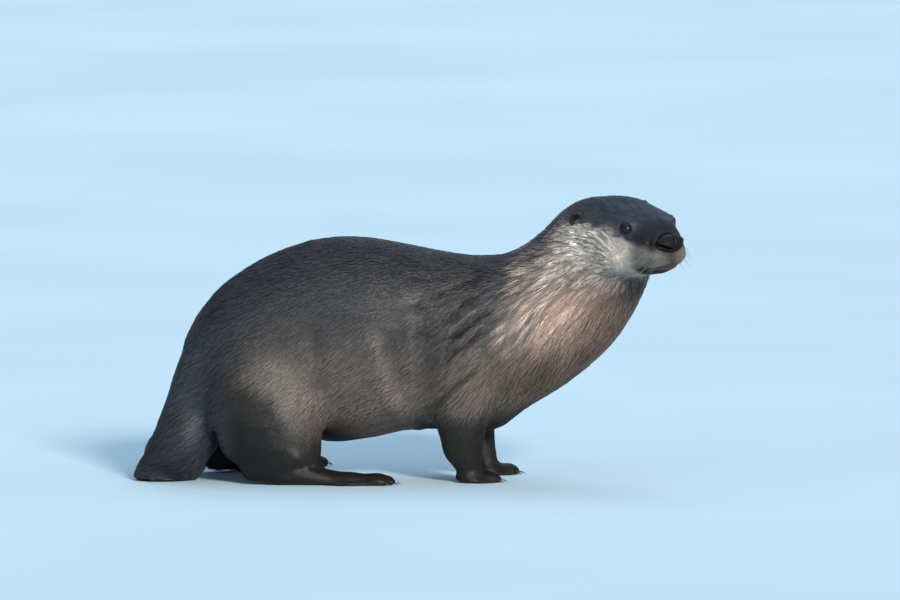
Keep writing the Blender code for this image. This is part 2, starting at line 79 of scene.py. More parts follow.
# the left eye and the nose pad, in the head frame
EYE_PLACE = (66.6, 27.6, 11.4)
EYE_RADIUS = 5.6
LID_OPENING = (5.0, 2.6)
LID_RADIUS = 6.6
LID_REACH = 18
FAR_OVAL = 99.0
NOSE_PLACE = (98.8, 0.0, -0.4)
NOSE_RADII = (9.6, 17.2, 9.4)

# back and belly of the fore end at each station, from the chest to behind the head, and how far down the side
# the pale fur starts there, from 0 at the back to 1 at the belly
FORE_STATIONS = (
    ((37, -76, 230), (81, -76, 48)),
    ((71, -76, 226), (120, -76, 72)),
    ((101, -77, 229), (166, -77, 101)),
    ((129, -80, 247), (208, -80, 140)),
    ((156, -87, 275), (233, -87, 183)),
    ((180, -95, 286), (239, -95, 214)),
)
PALE_FROM = (0.72, 0.48, 0.24, 0.15, 0.12, 0.20)

# head frame: forward, and the height where the dark cap meets the pale cheek
CAP_EDGE = ((-30, 6), (0, 4), (13, 9), (34, 8), (50, 6), (61, 3), (72, -1), (85, -2.5), (95, -6), (108, -8))

# lines on the face in the head frame: forward, left, up
MOUTH = (
    (101, 0, -21.5), (100, 6, -22.5), (96, 13, -23.5), (90, 19, -23.5),
    (82, 24, -24), (74, 28, -26), (66, 31, -29.5),
)
MOUTH_HEIGHT = -25
LIP_CLEFT = ((105, 0, -9), (103.5, 0, -16), (101, 0, -23))
NOSTRIL = (
    (106.4, 4.0, -6.0), (106.4, 8.5, -4.2), (104.6, 13.2, -2.0), (101.5, 16.2, -0.6), (97.5, 17.4, 0.4),
)
NOSTRIL_CORNER = ((100, 16.8, -0.6), (96.5, 18.6, 0.6), (92.5, 20.6, 1.8))

# grooves on the face and nose: depth and width, and for the nostril both at its front and at its corner
MOUTH_GROOVE, CORNER_GROOVE, CLEFT_GROOVE, NOSE_GROOVE = (1.9, 1.3), (2.4, 1.9), (1.1, 1.2), (0.9, 0.9)
NOSTRIL_DEPTH, NOSTRIL_WIDTH = (7.4, 4.4), (2.2, 1.7)
# soft edges that swell beside them: height, distance and width
UPPER_LIP, LOWER_LIP, NOSTRIL_EDGE = (0.8, 3.6, 2.4), (0.32, 3.6, 2.4), (0.5, 3.8, 1.6)

# the hollow in the left ear, in the head frame: middle, which way it opens, and depth, width and height
EAR_MIDDLE = (8.0, 44.0, 8.5)
EAR_OPENING = (0.67, 0.74, 0.10)
EAR_HOLLOW = (4.6, 4.8, 5.9)
EAR_LIFT = 2.2

# the coat: how deep the skin lies under its tips, how long the hair is, and how much longer where it is wet
BODY_DEPTH, FACE_DEPTH, LEG_DEPTH, FOOT_DEPTH, EAR_DEPTH = 2.2, 0.9, 1.3, 0.6, 0.7
BODY_HAIR, LEG_HAIR, FOOT_HAIR, HEAD_HAIR, MUZZLE_HAIR, EAR_HAIR = 13, 6.0, 2.8, 5.5, 2.6, 2.6
WET_BODY_EXTRA, WET_HEAD_EXTRA = 10, 4.5

# how wet a sleek coat is, how wet it is where the long locks grow, and how far apart the locks lie
SLEEK, LOCKS_FROM = 0.12, 0.5
BODY_GAP, WET_GAP_EXTRA, HEAD_GAP, MUZZLE_GAP, FOOT_GAP = 5.2, 3.4, 5.8, 2.6, 2.4

# tufts: how often they cover the hide, width against length and its limits, how far the roots sink in,
# how far they sway sideways, how dark they are at the root and how much lighter at the tip as a painted
# sheen, and how much of their own normal they keep
COAT_COVER, LOCKS_COVER, EAR_COVER = 2.2, 1.1, 2.0
TUFT_WIDTH, LEAST_WIDTH, MOST_WIDTH = 0.08, 0.26, 0.85
ROOT_SINK, SWAY = 0.25, 0.09
ROOT_TONE, PAINTED_TIP_SHEEN = 0.72, 1.14
OWN_NORMAL_SLEEK, OWN_NORMAL_WET = 0.16, 0.50
MOST_TRIANGLES = 195000


# ---------------------------------------------------------------- small helpers


def step(low, high, value):
    """0 below low, 1 above high, and a soft slope between them."""
    share = np.clip((value - low) / (high - low), 0, 1)
    return share * share * (3 - 2 * share)


def unit(vectors):
    return vectors / np.maximum(np.linalg.norm(vectors, axis=-1, keepdims=True), 1e-9)


def reach(arms):
    return np.linalg.norm(arms, axis=1)


def toward(value, other, share):
    return value * (1 - share) + other * share


def head_matrix():
    turn = Matrix.Rotation(math.radians(HEAD_YAW), 4, "Z") @ Matrix.Rotation(math.radians(HEAD_PITCH), 4, "Y")
    return Matrix.Translation(HEAD_PIVOT) @ turn @ Matrix.Rotation(math.radians(HEAD_ROLL), 4, "X")


HEAD = np.array(head_matrix())


def to_head(points):
    return (points - HEAD[:3, 3]) @ HEAD[:3, :3]


def from_head(points):
    return np.asarray(points, float) @ HEAD[:3, :3].T + HEAD[:3, 3]


def away_from_line(points, line):
    """Distance of each point from a polyline, and how far along the line it falls, from 0 to 1."""
    line = np.asarray(line, float)
    best = np.full(len(points), 1e9)
    along = np.zeros(len(points))
    for k, (a, b) in enumerate(zip(line[:-1], line[1:])):
        run = b - a
        t = np.clip((points - a) @ run / (run @ run), 0, 1)
        gap = reach(points - a - t[:, None] * run)
        closer = gap < best
        best[closer], along[closer] = gap[closer], (k + t[closer]) / (len(line) - 1)
    return best, along


def mirrored(line, side):
    return [(a, side * b, c) for a, b, c in line]


def side_gaps(head, line):
    """Distance from a line on the face, on each side in turn."""
    return [away_from_line(head, mirrored(line, side))[0] for _, side in SIDES]


def left_half(head):
    """Both halves of the head folded onto the left one."""
    return np.stack([head[:, 0], np.abs(head[:, 1]), head[:, 2]], axis=1)


def mound(distance, width):
    return np.exp(-((distance / width) ** 2))


def groove(gap, depth, width):
    return -depth * mound(gap, width)


def swelling(gap, height, away, width):
    return height * mound(gap - away, width)


def patch(a, b, middle, size):
    """1 in the middle of an oval patch on two coordinates, fading out past its size."""
    return mound(np.hypot((a - middle[0]) / size[0], (b - middle[1]) / size[1]), 1)


def linked(name, data):
    obj = bpy.data.objects.new(name, data)
    bpy.context.scene.collection.objects.link(obj)
    return obj


def finished(bm, name, material):
    """Turns a bmesh in millimetres into a linked piece in metres that rides on the body."""
    bmesh.ops.scale(bm, vec=(MM, MM, MM), verts=bm.verts)
    mesh = bpy.data.meshes.new(name)
    bm.to_mesh(mesh)
    bm.free()
    for face in mesh.polygons:
        face.use_smooth = True
    return settled_piece(linked(name, mesh), material)


def settled_piece(obj, material):
    obj.data.materials.append(material)
    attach(obj, "root")
    return obj


# ---------------------------------------------------------------- the skin


def closed_shells(nodes, swell):
    """Merged copies of the named solids in one bmesh, in millimetres, each a little swollen."""
    bm = bmesh.new()
    for node in nodes:
        bm.from_mesh(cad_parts[node].data)
    bmesh.ops.scale(bm, vec=(1 / MM,) * 3, verts=bm.verts)
    bmesh.ops.remove_doubles(bm, verts=bm.verts, dist=0.01)
    bm.normal_update()
    for vert in bm.verts:
        vert.co += vert.normal * swell
    return bm


def remeshed(bm, voxel):
    """The shells of a bmesh fused into one even surface."""
    rough = bpy.data.meshes.new("rough")
    bm.to_mesh(rough)
    bm.free()
    obj = linked("rough", rough)
    fuse = obj.modifiers.new("fuse", "REMESH")
    fuse.mode, fuse.voxel_size, fuse.use_smooth_shade = "VOXEL", voxel, True
    even = bpy.data.meshes.new_from_object(obj.evaluated_get(bpy.context.evaluated_depsgraph_get()))
    bpy.data.objects.remove(obj)
    bm = bmesh.new()
    bm.from_mesh(even)
    return bm


def points_of(bm):
    return np.array([v.co for v in bm.verts], float)


def place(bm, points):
    for vert, point in zip(bm.verts, points):
        vert.co = point
    bm.normal_update()


def normals_of(bm):
    return np.array([v.normal for v in bm.verts], float)


def neighbours(bm):
    return np.array([(e.verts[0].index, e.verts[1].index) for e in bm.edges])


def averaged(values, pairs):
    """Each point's mean over its neighbours."""
    total = np.empty_like(values)
    a, b = pairs[:, 0], pairs[:, 1]
    for k in range(values.shape[1]):
        total[:, k] = np.bincount(a, values[b, k], len(values)) + np.bincount(b, values[a, k], len(values))
    count = np.bincount(pairs.ravel(), minlength=len(values))
    return total / np.maximum(count, 1)[:, None]


def evened(points, pairs, weight, rounds):
    """Smooths the facets out of a surface and keeps its girth."""
    for _ in range(rounds):
        points = points + SMOOTH_IN * weight[:, None] * (averaged(points, pairs) - points)
        points = points - SMOOTH_OUT * weight[:, None] * (averaged(points, pairs) - points)
    return points


def refined(bm, chosen):
    """Splits the faces whose middles are chosen into four."""
    middles = np.array([f.calc_center_median() for f in bm.faces], float)
    keep = chosen(middles)
    bm.faces.ensure_lookup_table()
    edges = {e for f, wanted in zip(bm.faces, keep) if wanted for e in f.edges}
    bmesh.ops.subdivide_edges(bm, edges=list(edges), cuts=1, use_grid_fill=True)
    bm.verts.index_update()
    bm.normal_update()


def on_muzzle(points):
    head = to_head(points)
    return (head[:, 0] > FACE_FROM) & (head[:, 2] > FACE_ABOVE)


def on_feet(points):
    x, _, z = points.T
    fore = (z < FORE_FEET_BELOW) & (x > FORE_FEET_FROM)
    return fore | (z < HIND_FEET_BELOW) & (x > HIND_FEET_FROM) & (x < HIND_FEET_TO)


def near_eye(points):
    return reach(left_half(to_head(points)) - EYE_PLACE) < FINE_ROUND_EYE


def slim(points):
    """1 on the toes and the muzzle, where smoothing must stay light, 0 on the trunk."""
    face = step(55, 75, to_head(points)[:, 0])
    foot = (1 - step(22, 40, points[:, 2])) * step(-160, -130, points[:, 0])
    return np.maximum(face * 0.75, foot)


def on_legs(x, height, low, high, before=-165):
    """1 on the lower legs, 0 above them and on the tail."""
    return (1 - step(low, high, height)) * step(-185, before, x)


def coat_depth(points):
    """How far under the solids the skin lies, for the coat that covers it."""
    face = step(20, 60, to_head(points)[:, 0])
    depth = toward(BODY_DEPTH, FACE_DEPTH, face)
    depth = toward(depth, LEG_DEPTH, on_legs(points[:, 0], points[:, 2], 30, 90, -160))
    return toward(depth, FOOT_DEPTH, slim(points) * (1 - step(0.5, 1, face)))


# folds and wet creases in the side plane: ((x, z) ...), height, width, and the painted light on a ridge or
# painted shade in a crease, as how much lighter or darker the coat is
FOLDS = (
    (((-36, 152), (-30, 126), (-18, 92), (-4, 66)), 3.4, 8, 0.30),
    (((-20, 146), (-10, 118), (2, 92)), -2.0, 6, -0.10),
    (((2, 172), (4, 140), (6, 112)), 1.8, 6, 0.12),
    (((20, 160), (24, 122), (26, 84)), -3.4, 12, -0.48),
    (((84, 176), (62, 160), (38, 142)), -4.2, 2.6, -0.8),
    (((76, 192), (54, 178), (34, 160)), -4.0, 2.4, -0.75),
    (((72, 150), (54, 138), (36, 120)), -4.0, 2.4, -0.75),
    (((82, 185), (60, 170), (40, 152)), 1.4, 3.0, 0.45),
    (((78, 163), (58, 149), (40, 132)), 1.4, 3.0, 0.45),
    (((76, 208), (66, 198)), -1.8, 5, -0.55),
    (((66, 206), (46, 196), (22, 186)), -1.6, 2.4, -0.4),
    (((30, 203), (4, 207)), -1.4, 2.0, -0.4),
    (((70, 116), (48, 100), (24, 76)), -3.2, 2.8, -0.65),
    (((131, 178), (121, 166), (111, 153)), -2.4, 1.8, -0.6),
    (((133, 166), (127, 151), (121, 136)), -2.4, 1.8, -0.6),
    (((121, 156), (117, 147), (113, 138)), -2.0, 1.6, -0.5),
    (((-75, 92), (-50, 88), (-30, 86)), 0.0, 14, -0.16),
    (((-96, 160), (-88, 120), (-84, 84)), -2.4, 8, -0.12),
    (((-202, 80), (-204, 54), (-200, 28)), -1.2, 3.5, 0.0),
    (((-195, 74), (-195, 50), (-192, 32)), 1.6, 3.5, 0.2),
)
# small dents and swellings: (x, y, z), height, width
DENTS = (
    ((11, -135, 181), -2.4, 8),
    ((9, -92, 50), 4.0, 7),
    ((0, -92, 54), -1.5, 5),
    ((-218, -94, 14), 9.0, 13),
    ((-246, -80, 58), 3.5, 20),
)


def folded(points, normals):
    """Folds of loose skin and wet creases on both sides, and small dents."""
    change = np.zeros(len(points))
    side_facing = step(0.15, 0.6, np.abs(normals[:, 1]))
    for line, depth, width, _ in FOLDS:
        gap, along = away_from_line(points[:, (0, 2)], line)
        ends = step(0, 0.2, along) * (1 - step(0.8, 1, along))
        change += depth * mound(gap, width) * (0.25 + 0.75 * ends) * side_facing
    for middle, depth, width in DENTS:
        change += depth * mound(reach(points - np.array(middle)), width)
    return points + change[:, None] * normals


def from_nose(head):
    """How far each point is from the nose pad's middle: 1 on its surface."""
    return reach((head - NOSE_PLACE) / NOSE_RADII)


def faced(points, normals):
    """Mouth line, lip cleft and a rim round the nose in the skin, and a lidded opening over each eye."""
    head = to_head(points)
    turned = normals @ HEAD[:3, :3]
    change = np.zeros(len(points))
    upper = head[:, 2] > MOUTH_HEIGHT
    for gap in side_gaps(head, MOUTH):
        lips = np.where(upper, swelling(gap, *UPPER_LIP), swelling(gap, *LOWER_LIP))
        change += lips + groove(gap, *MOUTH_GROOVE)
    for gap in side_gaps(head, NOSTRIL_CORNER):
        change += groove(gap, *CORNER_GROOVE)
    change += groove(away_from_line(head, LIP_CLEFT)[0], *CLEFT_GROOVE)
    change += (0.6 + 1.2 * step(-1, 5, head[:, 2])) * mound(from_nose(head) - 1.06, 0.14)
    return from_head(lidded(head + change[:, None] * turned))


def eye_axes():
    """Outward, forward along the lids, and up, for the left eye, in the head frame."""
    out, slant = unit(np.array([0.30, 0.86, 0.42])), np.array([1.0, 0.0, -0.22])
    fore = unit(slant - out * (slant @ out))
    return out, fore, np.cross(fore, out)


def round_eye(head):
    """Each point's place from the nearer eye: outward, forward, up, and how many lid openings away."""
    arm = left_half(head) - EYE_PLACE
    outward, forward, upward = (arm @ way for way in eye_axes())
    across, high = forward / LID_OPENING[0], upward / LID_OPENING[1]
    oval = np.sqrt(across**2 + (high * (1 + 0.25 * np.abs(across))) ** 2)
    return outward, forward, upward, np.where(reach(arm) < LID_REACH, oval, FAR_OVAL)


def lidded(head):
    """Lays the skin over each eyeball as lids, and presses the opening in under the ball."""
    outward, forward, upward, oval = round_eye(head)
    flat = np.hypot(forward, upward)
    bend = np.minimum(flat / LID_RADIUS, 1.3)
    shrink = LID_RADIUS * np.sin(bend) / np.maximum(flat, 0.01)
    dome = np.stack([LID_RADIUS * np.cos(bend), forward * shrink, upward * shrink], axis=1)
    place_now = np.stack([outward, forward, upward], axis=1)
    near = (oval < FAR_OVAL) & (outward > -2)
    lid = near * (1 - step(0.75, 1.65, flat / LID_RADIUS))
    place_new = place_now + (dome - place_now) * lid[:, None]
    sunk = near * (1 - step(0.90, 1.06, oval))
    deep = (EYE_RADIUS - 1.6) / np.maximum(reach(place_new), 0.01)
    crease = 1 - 0.05 * near * mound(oval - 1.9, 0.3) * (upward > 0)
    place_new = place_new * (crease * (1 + (deep - 1) * sunk))[:, None]
    arm = place_new @ np.array(eye_axes()) + EYE_PLACE
    moved = arm.copy()
    moved[:, 1] *= np.where(head[:, 1] < 0, -1, 1)
    return np.where((oval < FAR_OVAL)[:, None], moved, head)


def make_skin():
    bm = remeshed(closed_shells(FLESH, GAP_CLOSING), SKIN_VOXEL)
    points, pairs = points_of(bm), neighbours(bm)
    points = evened(points, pairs, 1 - 0.8 * slim(points), SMOOTH_ROUNDS)
    place(bm, points)
    refined(bm, lambda middles: on_muzzle(middles) | on_feet(middles))
    refined(bm, near_eye)
    points, pairs = points_of(bm), neighbours(bm)
    points = evened(points, pairs, (on_muzzle(points) | on_feet(points)) * 0.9, FINE_ROUNDS)
    place(bm, points)
    points = points - (coat_depth(points) + GAP_CLOSING)[:, None] * normals_of(bm)
    place(bm, points)
    points = folded(points, normals_of(bm))
    place(bm, points)
    points = faced(points, normals_of(bm))
    points[:, 2] = np.maximum(points[:, 2], FLOOR_CLEARANCE)
    place(bm, points)
    return bm


def make_ears():
    bm = remeshed(closed_shells(["ear_left", "ear_right"], 0.1), EAR_VOXEL)
    points, pairs = points_of(bm), neighbours(bm)
    lift = HEAD[:3, 2] * EAR_LIFT
    place(bm, evened(points, pairs, np.ones(len(points)), 4) + lift)
    return bm


# ---------------------------------------------------------------- markings

NECK_LIE = (-0.62, 0.0, -0.78)
BODY_LIE = (-0.84, 0.0, -0.54)
CHEEK_LIE = (-0.86, 0.0, -0.50)
CREASE_LIE = (-0.80, 0.0, -0.60)
EAR_LIE = (-0.5, 0.0, 1.0)
DROOP = 0.4

# oval patches: middle and size, in the side plane
SHOULDER_PATCH = (50, 170), (42, 52.5)
# CREASED_PATCH: the shoulder's streaks of painted light and shade along its creases
CREASED_PATCH = (52, 158), (44, 55)
WET_PATCH = (54, 164), (40, 50)
# patches painted lighter where light falls on the upper arm and the thigh
LIT_ARM_PATCH = (72, 118), (30, 34)
LIT_THIGH_PATCH = (-138, 105), (30, 42)
LIT_THIGH_SLANT = 0.25
HOCK = (-174, 50)
# the same along the fore end's stations and from back to belly, and on the side of the head
# WARM_PATCH: where the throat's tan is warmed with painted warm light
WARM_PATCH = (2.7, 0.55), (1.05, 0.17)
BEHIND_EYE_PATCH = (54, 4.5), (7, 7)
TEMPLE_MARK = (45, 7), (2.2, 6)
# painted shadow under the jaw, for the neck and for the head: middle and size in the head frame
NECK_JAW_SHADOW = (50, 0, -54), (27, 34, 14)
HEAD_JAW_SHADOW = (50, 0, -50), (25, 34, 12)

# from where to where a colour comes in: heights, lengths, stations or shares of the way from back to belly
FLANK_BELOW, FLANK_FROM = (84, 186), (-140, -95)
# TAIL_TIP_FROM and TAIL_LOW bound the painted shade low on the tail's end
TAIL_FROM, TAIL_TIP_FROM, TAIL_LOW = (-215, -160), (-224, -206), (30, 90)
FORE_END, THROAT_FROM, NECK_FROM = (0.1, 1.1), (1.2, 2.4), (0.6, 1.6)
PALE_EDGE, NAPE_EDGE, NAPE_FROM, THROAT_EDGE = (-0.15, 0.18), (-0.42, -0.04), (0.2, 1.6), (0.46, 0.72)
# CHIN_BELOW: the heights below which the chin is darkened with painted shadow
MUZZLE_FROM, CHIN_BELOW, CHEEK_ABOVE = (70, 84), (-28, -23), (-45, -15)

# BACK, TAIL, NAPE and CAP: the coat's dark brown, made bluer and lighter with a painted sky sheen
BACK = (0.036, 0.039, 0.046)
FLANK = (0.170, 0.139, 0.117)
# painted light on the thigh
LIT_THIGH = (0.130, 0.110, 0.090)
DARK_THIGH = (0.016, 0.014, 0.012)
SHOULDER = (0.048, 0.045, 0.050)
# painted light on the upper arm
LIT_ARM = (0.130, 0.105, 0.084)
LEG = (0.006, 0.006, 0.006)
TAIL = (0.044, 0.050, 0.062)
NAPE = (0.064, 0.066, 0.076)
NECK = (0.53, 0.435, 0.375)
THROAT = (0.160, 0.113, 0.085)
# the throat's tan, partly painted warm light
THROAT_WARM = (0.64, 0.42, 0.315)
CHEST = (0.128, 0.096, 0.072)
# the cheek's pale fur, lightened further with painted light
CHEEK = (0.79, 0.70, 0.61)
BEHIND_EYE = (0.40, 0.34, 0.30)
# painted shadow under the jaw
JAW_SHADOW = (0.032, 0.031, 0.030)
CAP = (0.038, 0.049, 0.077)
TEMPLE = (0.098, 0.098, 0.104)
MUZZLE_TOP = (0.010, 0.015, 0.023)
LIP = (0.215, 0.200, 0.178)
# painted shadow: the chin under the mouth darkened
SHADED_CHIN = (0.006, 0.008, 0.008)
# near black: painted shade along the mouth, at the nostril corners and round the nose pad, and the lids' own
# dark edge
DARK_LINE = (0.008, 0.007, 0.007)
BROW = (0.16, 0.15, 0.14)
EAR_RIM = (0.060, 0.053, 0.050)
PHILTRUM = (0.070, 0.045, 0.036)
# painted shade in the ear's opening
SHADED_EAR_OPENING = (0.007, 0.005, 0.004)

DARKEST, LIGHTEST = 0.004, 0.9
SKIN_SHADE, EAR_SKIN_SHADE = 0.62, 0.7


def over(base, colour, amount):
    """Lays one colour over the others by the given share."""
    return base + (np.array(colour) - base) * amount[:, None]


def plain(colour, points):
    """One colour at every point."""
    return np.tile(np.array(colour), (len(points), 1))


def shaded(colour, change):
    """A colour made lighter or darker by a share."""
    return colour * (1 + change)[:, None]


# the share of the painted shadow under the jaw, fading out from an oval's middle
def shadow_oval(head, middle, size):
    return mound(reach((head - middle) / size), 1)


def fore_place(points):
    """Where each point is along the fore end, and how far from back to belly."""
    backs, bellies = (np.array([s[k] for s in FORE_STATIONS], float) for k in (0, 1))
    _, along = away_from_line(points, (backs + bellies) / 2)
    along = along * (len(backs) - 1)
    low = np.minimum(along.astype(int), len(backs) - 2)
    share = (along - low)[:, None]
    back = toward(backs[low], backs[low + 1], share)
    run = toward(bellies[low], bellies[low + 1], share) - back
    return along, np.sum((points - back) * run, axis=1) / np.sum(run * run, axis=1)


def wandering(points, size, seed):
    """A slow smooth unevenness from -1 to 1, made of a few crossing waves."""
    rng = np.random.default_rng(seed)
    total = np.zeros(len(points))
    for _ in range(5):
        way = unit(rng.normal(size=3)) * 2 * math.pi / (size * rng.uniform(0.7, 1.5))
        total += np.sin(points @ way + rng.uniform(0, 6.28))
    return total / 3


def streaks(points, way, size, seed):
    """Unevenness drawn out along the lie of the hair."""
    way = unit(np.array(way, float))
    return wandering(points - 0.88 * (points @ way)[:, None] * way, size, seed)


def on_head(head):
    """1 on the head, 0 behind the ears and under the jaw."""
    return step(-16, 10, head[:, 0]) * step(-60, -44, head[:, 2])


def on_snout(head):
    return step(52, 74, head[:, 0])


def on_toes(points, head):
    return slim(points) * (1 - step(-20, 20, head[:, 0]))


def body_colour(points, uneven):
    """Dark back over a brown flank, dark shoulder, arm and thigh painted lighter where light falls, dark hock
    and tail, painted sheen on back and tail, painted shade low on the tail's end.
    """
    x, _, z = points.T
    low_side = (1 - step(*FLANK_BELOW, z + 10 * uneven)) * step(*FLANK_FROM, x)
    colour = over(plain(BACK, points), FLANK, low_side)
    colour = over(colour, SHOULDER, 0.8 * patch(x, z, *SHOULDER_PATCH))
    # streaks of painted light and shade along the creases over the shoulder
    colour = shaded(colour, 0.42 * patch(x, z, *CREASED_PATCH) * streaks(points, CREASE_LIE, 8, 8))
    # painted light on the upper arm and on the thigh
    colour = over(colour, LIT_ARM, 0.75 * patch(x, z, *LIT_ARM_PATCH))
    colour = over(colour, LIT_THIGH, patch(x - LIT_THIGH_SLANT * (z - LIT_THIGH_PATCH[0][1]), z, *LIT_THIGH_PATCH))
    from_hock = np.hypot(x - HOCK[0], z - HOCK[1]) + 4 * uneven
    colour = over(colour, DARK_THIGH, 0.96 * (1 - step(42, 66, from_hock)) * step(-216, -200, x))
    colour = over(colour, TAIL, 1 - step(*TAIL_FROM, x + 0.2 * (z - 100)))
    # painted shade: the end of the tail darker low down, near the floor
    return shaded(colour, -0.4 * (1 - step(*TAIL_TIP_FROM, x)) * (1 - step(*TAIL_LOW, z)))


def neck_colour(points, along, girth, drawn):
    """Dark chest, pale neck with a warm patch on the throat that is partly painted warm light, and painted
    shadow under the jaw.
    """
    colour = over(plain(CHEST, points), THROAT, step(*THROAT_FROM, along))
    colour = over(colour, NECK, step(*NECK_FROM, along) * (1 - step(*THROAT_EDGE, girth + 0.07 * drawn)))
    # warm patch on the throat: tan fur, partly painted warm light
    colour = over(colour, THROAT_WARM, 0.75 * patch(along, girth, *WARM_PATCH))
    return over(shaded(colour, 0.22 * drawn), JAW_SHADOW, 0.9 * shadow_oval(to_head(points), *NECK_JAW_SHADOW))


def head_colour(head, fine):
    """Dark cap with a painted bluish sheen over pale cheeks lightened with painted light, a dark muzzle, a
    light lip, and a chin darkened with painted shadow.
    """
    u, _, v = head.T
    combed = streaks(head, CHEEK_LIE, 7, 7)
    muzzle = step(*MUZZLE_FROM, u)
    # pale cheek fur, lightened further with painted light
    cheek = shaded(plain(CHEEK, head), 0.20 * combed)
    cheek = over(cheek, NECK, 1 - step(*CHEEK_ABOVE, v))
    # painted shadow under the jaw on the head
    cheek = over(cheek, JAW_SHADOW, 0.9 * shadow_oval(head, *HEAD_JAW_SHADOW))
    cheek = over(cheek, LIP, muzzle)
    # painted shadow on the chin below the mouth
    cheek = over(cheek, SHADED_CHIN, muzzle * (1 - step(*CHIN_BELOW, v)))
    above_edge = v - np.interp(u, *np.array(CAP_EDGE, float).T)
    cap = shaded(plain(CAP, head), 0.3 * combed)
    cap = over(cap, TEMPLE, 0.8 * (1 - step(2, 18, above_edge)) * (1 - step(50, 62, u)))
    cap = over(cap, MUZZLE_TOP, muzzle)
    colour = over(cheek, cap, step(-4, 4, above_edge + 1.2 * fine + 3.2 * combed * (1 - muzzle)))
    colour = over(colour, BEHIND_EYE, 0.7 * patch(u, v, *BEHIND_EYE_PATCH))
    return over(colour, CAP, 0.6 * patch(u, v, *TEMPLE_MARK))


def face_lines(colour, head):
    """Painted shade along the mouth line, at the nostril corners and round the nose pad, dark lids, brown lip
    cleft, light spot over each eye.
    """
    # painted shade along the mouth line and at the nostril corners
    for line, strength, width in ((MOUTH, 0.9, 1.5), (NOSTRIL_CORNER, 0.97, 3.0)):
        for gap in side_gaps(head, line):
            colour = over(colour, DARK_LINE, strength * mound(gap, width))
    gap, _ = away_from_line(head, LIP_CLEFT)
    colour = over(colour, PHILTRUM, 0.8 * mound(gap, 8))
    _, forward, upward, oval = round_eye(head)
    brow = 0.5 * (oval < FAR_OVAL) * mound(np.hypot(forward - 4.5, upward - 7), 2.6)
    colour = over(colour, BROW, brow)
    colour = over(colour, DARK_LINE, 1 - step(1.15, 1.7, oval))
    # painted shade round the nose pad, strongest underneath
    rim = (0.85 - 0.6 * step(-2, 4, head[:, 2])) * (1 - step(1.0, 1.12, from_nose(head)))
    return over(colour, DARK_LINE, rim)


def markings(points):
    """The animal's colour at each place, the same for skin and coat."""
    head = to_head(points)
    along, girth = fore_place(points)
    uneven, fine = wandering(points, 45, 3), wandering(points, 11, 4)
    drawn, long = streaks(points, NECK_LIE, 9, 5), streaks(points, BODY_LIE, 16, 6)

    from_edge = girth - np.interp(along, range(len(PALE_FROM)), PALE_FROM)
    nape = step(*NAPE_EDGE, from_edge + 0.08 * drawn) * step(*NAPE_FROM, along)
    pale = step(*PALE_EDGE, from_edge + 0.03 * uneven + 0.09 * drawn) * step(*FORE_END, along)
    # the nape band: dark brown with a painted bluish sheen
    colour = over(body_colour(points, uneven), NAPE, 0.8 * nape)
    colour = over(colour, neck_colour(points, along, girth, drawn), pale)
    # painted light along the folds' ridges and painted shade along the creases
    for line, _, width, lighter in FOLDS:
        gap, ends = away_from_line(points[:, (0, 2)], line)
        colour = shaded(colour, lighter * mound(gap, width) * (1 - 0.6 * step(0.8, 1, ends)))

    x, _, z = points.T
    fore = step(15, 40, x)
    leg = on_legs(x, z + 6 * uneven, 38 + 20 * fore, 92 + 8 * fore)
    belly = step(-70, -40, x) * (1 - step(0, 20, x)) * step(40, 50, z)
    colour = over(colour, LEG, leg * 0.92 * (1 - belly))
    colour = over(colour, face_lines(head_colour(head, fine), head), on_head(head))
    return np.clip(shaded(colour, 0.08 * uneven + 0.05 * fine + 0.09 * long), DARKEST, LIGHTEST)


def ear_markings(points):
    """Dark short hair over the ear, and its opening painted near black as shade."""
    depth, girth, height = EAR_HOLLOW
    opening = unit(np.array(EAR_OPENING))
    arm = left_half(to_head(points)) - (0, 0, EAR_LIFT) - EAR_MIDDLE - opening * depth
    inward = arm @ opening
    flat = np.sqrt(np.maximum(np.sum(arm * arm, axis=1) - inward**2, 0))
    # painted shade in the ear's opening
    inside = 1 - step(1.08, 1.35, np.hypot(inward / girth, flat / height))
    return over(plain(EAR_RIM, points), SHADED_EAR_OPENING, inside)


def wetness(points):
    """1 where the coat hangs together in wet locks, near 0 where it lies sleek."""
    head = to_head(points)
    x, _, z = points.T
    along, girth = fore_place(points)
    neck = step(0.1, 1.2, along) * step(0.05, 0.25, girth) * (1 - 0.8 * step(0.5, 0.72, girth))
    cheek = step(-20, 0, head[:, 0]) * (1 - step(50, 64, head[:, 0])) * (1 - step(0, 12, head[:, 2]))
    shoulder = 0.9 * patch(x, z, *WET_PATCH)
    tail = (1 - step(-190, -150, x)) * 0.3
    body = np.maximum.reduce([neck, shoulder, tail, np.full(len(points), SLEEK)])
    return toward(body, np.maximum(cheek, SLEEK), on_head(head))


# ---------------------------------------------------------------- the lie of the coat


def distance_from_nose(points, pairs):
    """Walking distance over the skin from the tip of the nose to every point."""
    links = [[] for _ in points]
    spans = reach(points[pairs[:, 0]] - points[pairs[:, 1]])
    for (a, b), span in zip(pairs.tolist(), spans.tolist()):
        links[a].append((b, span))
        links[b].append((a, span))
    start = int(np.argmax(to_head(points)[:, 0]))
    far = [math.inf] * len(points)
    far[start] = 0.0
    queue = [(0.0, start)]
    while queue:
        gone, at = heapq.heappop(queue)
        if gone > far[at]:
            continue
        for other, span in links[at]:
            if gone + span < far[other]:
                far[other] = gone + span
                heapq.heappush(queue, (gone + span, other))
    far = np.array(far)
    return np.where(np.isfinite(far), far, 0)


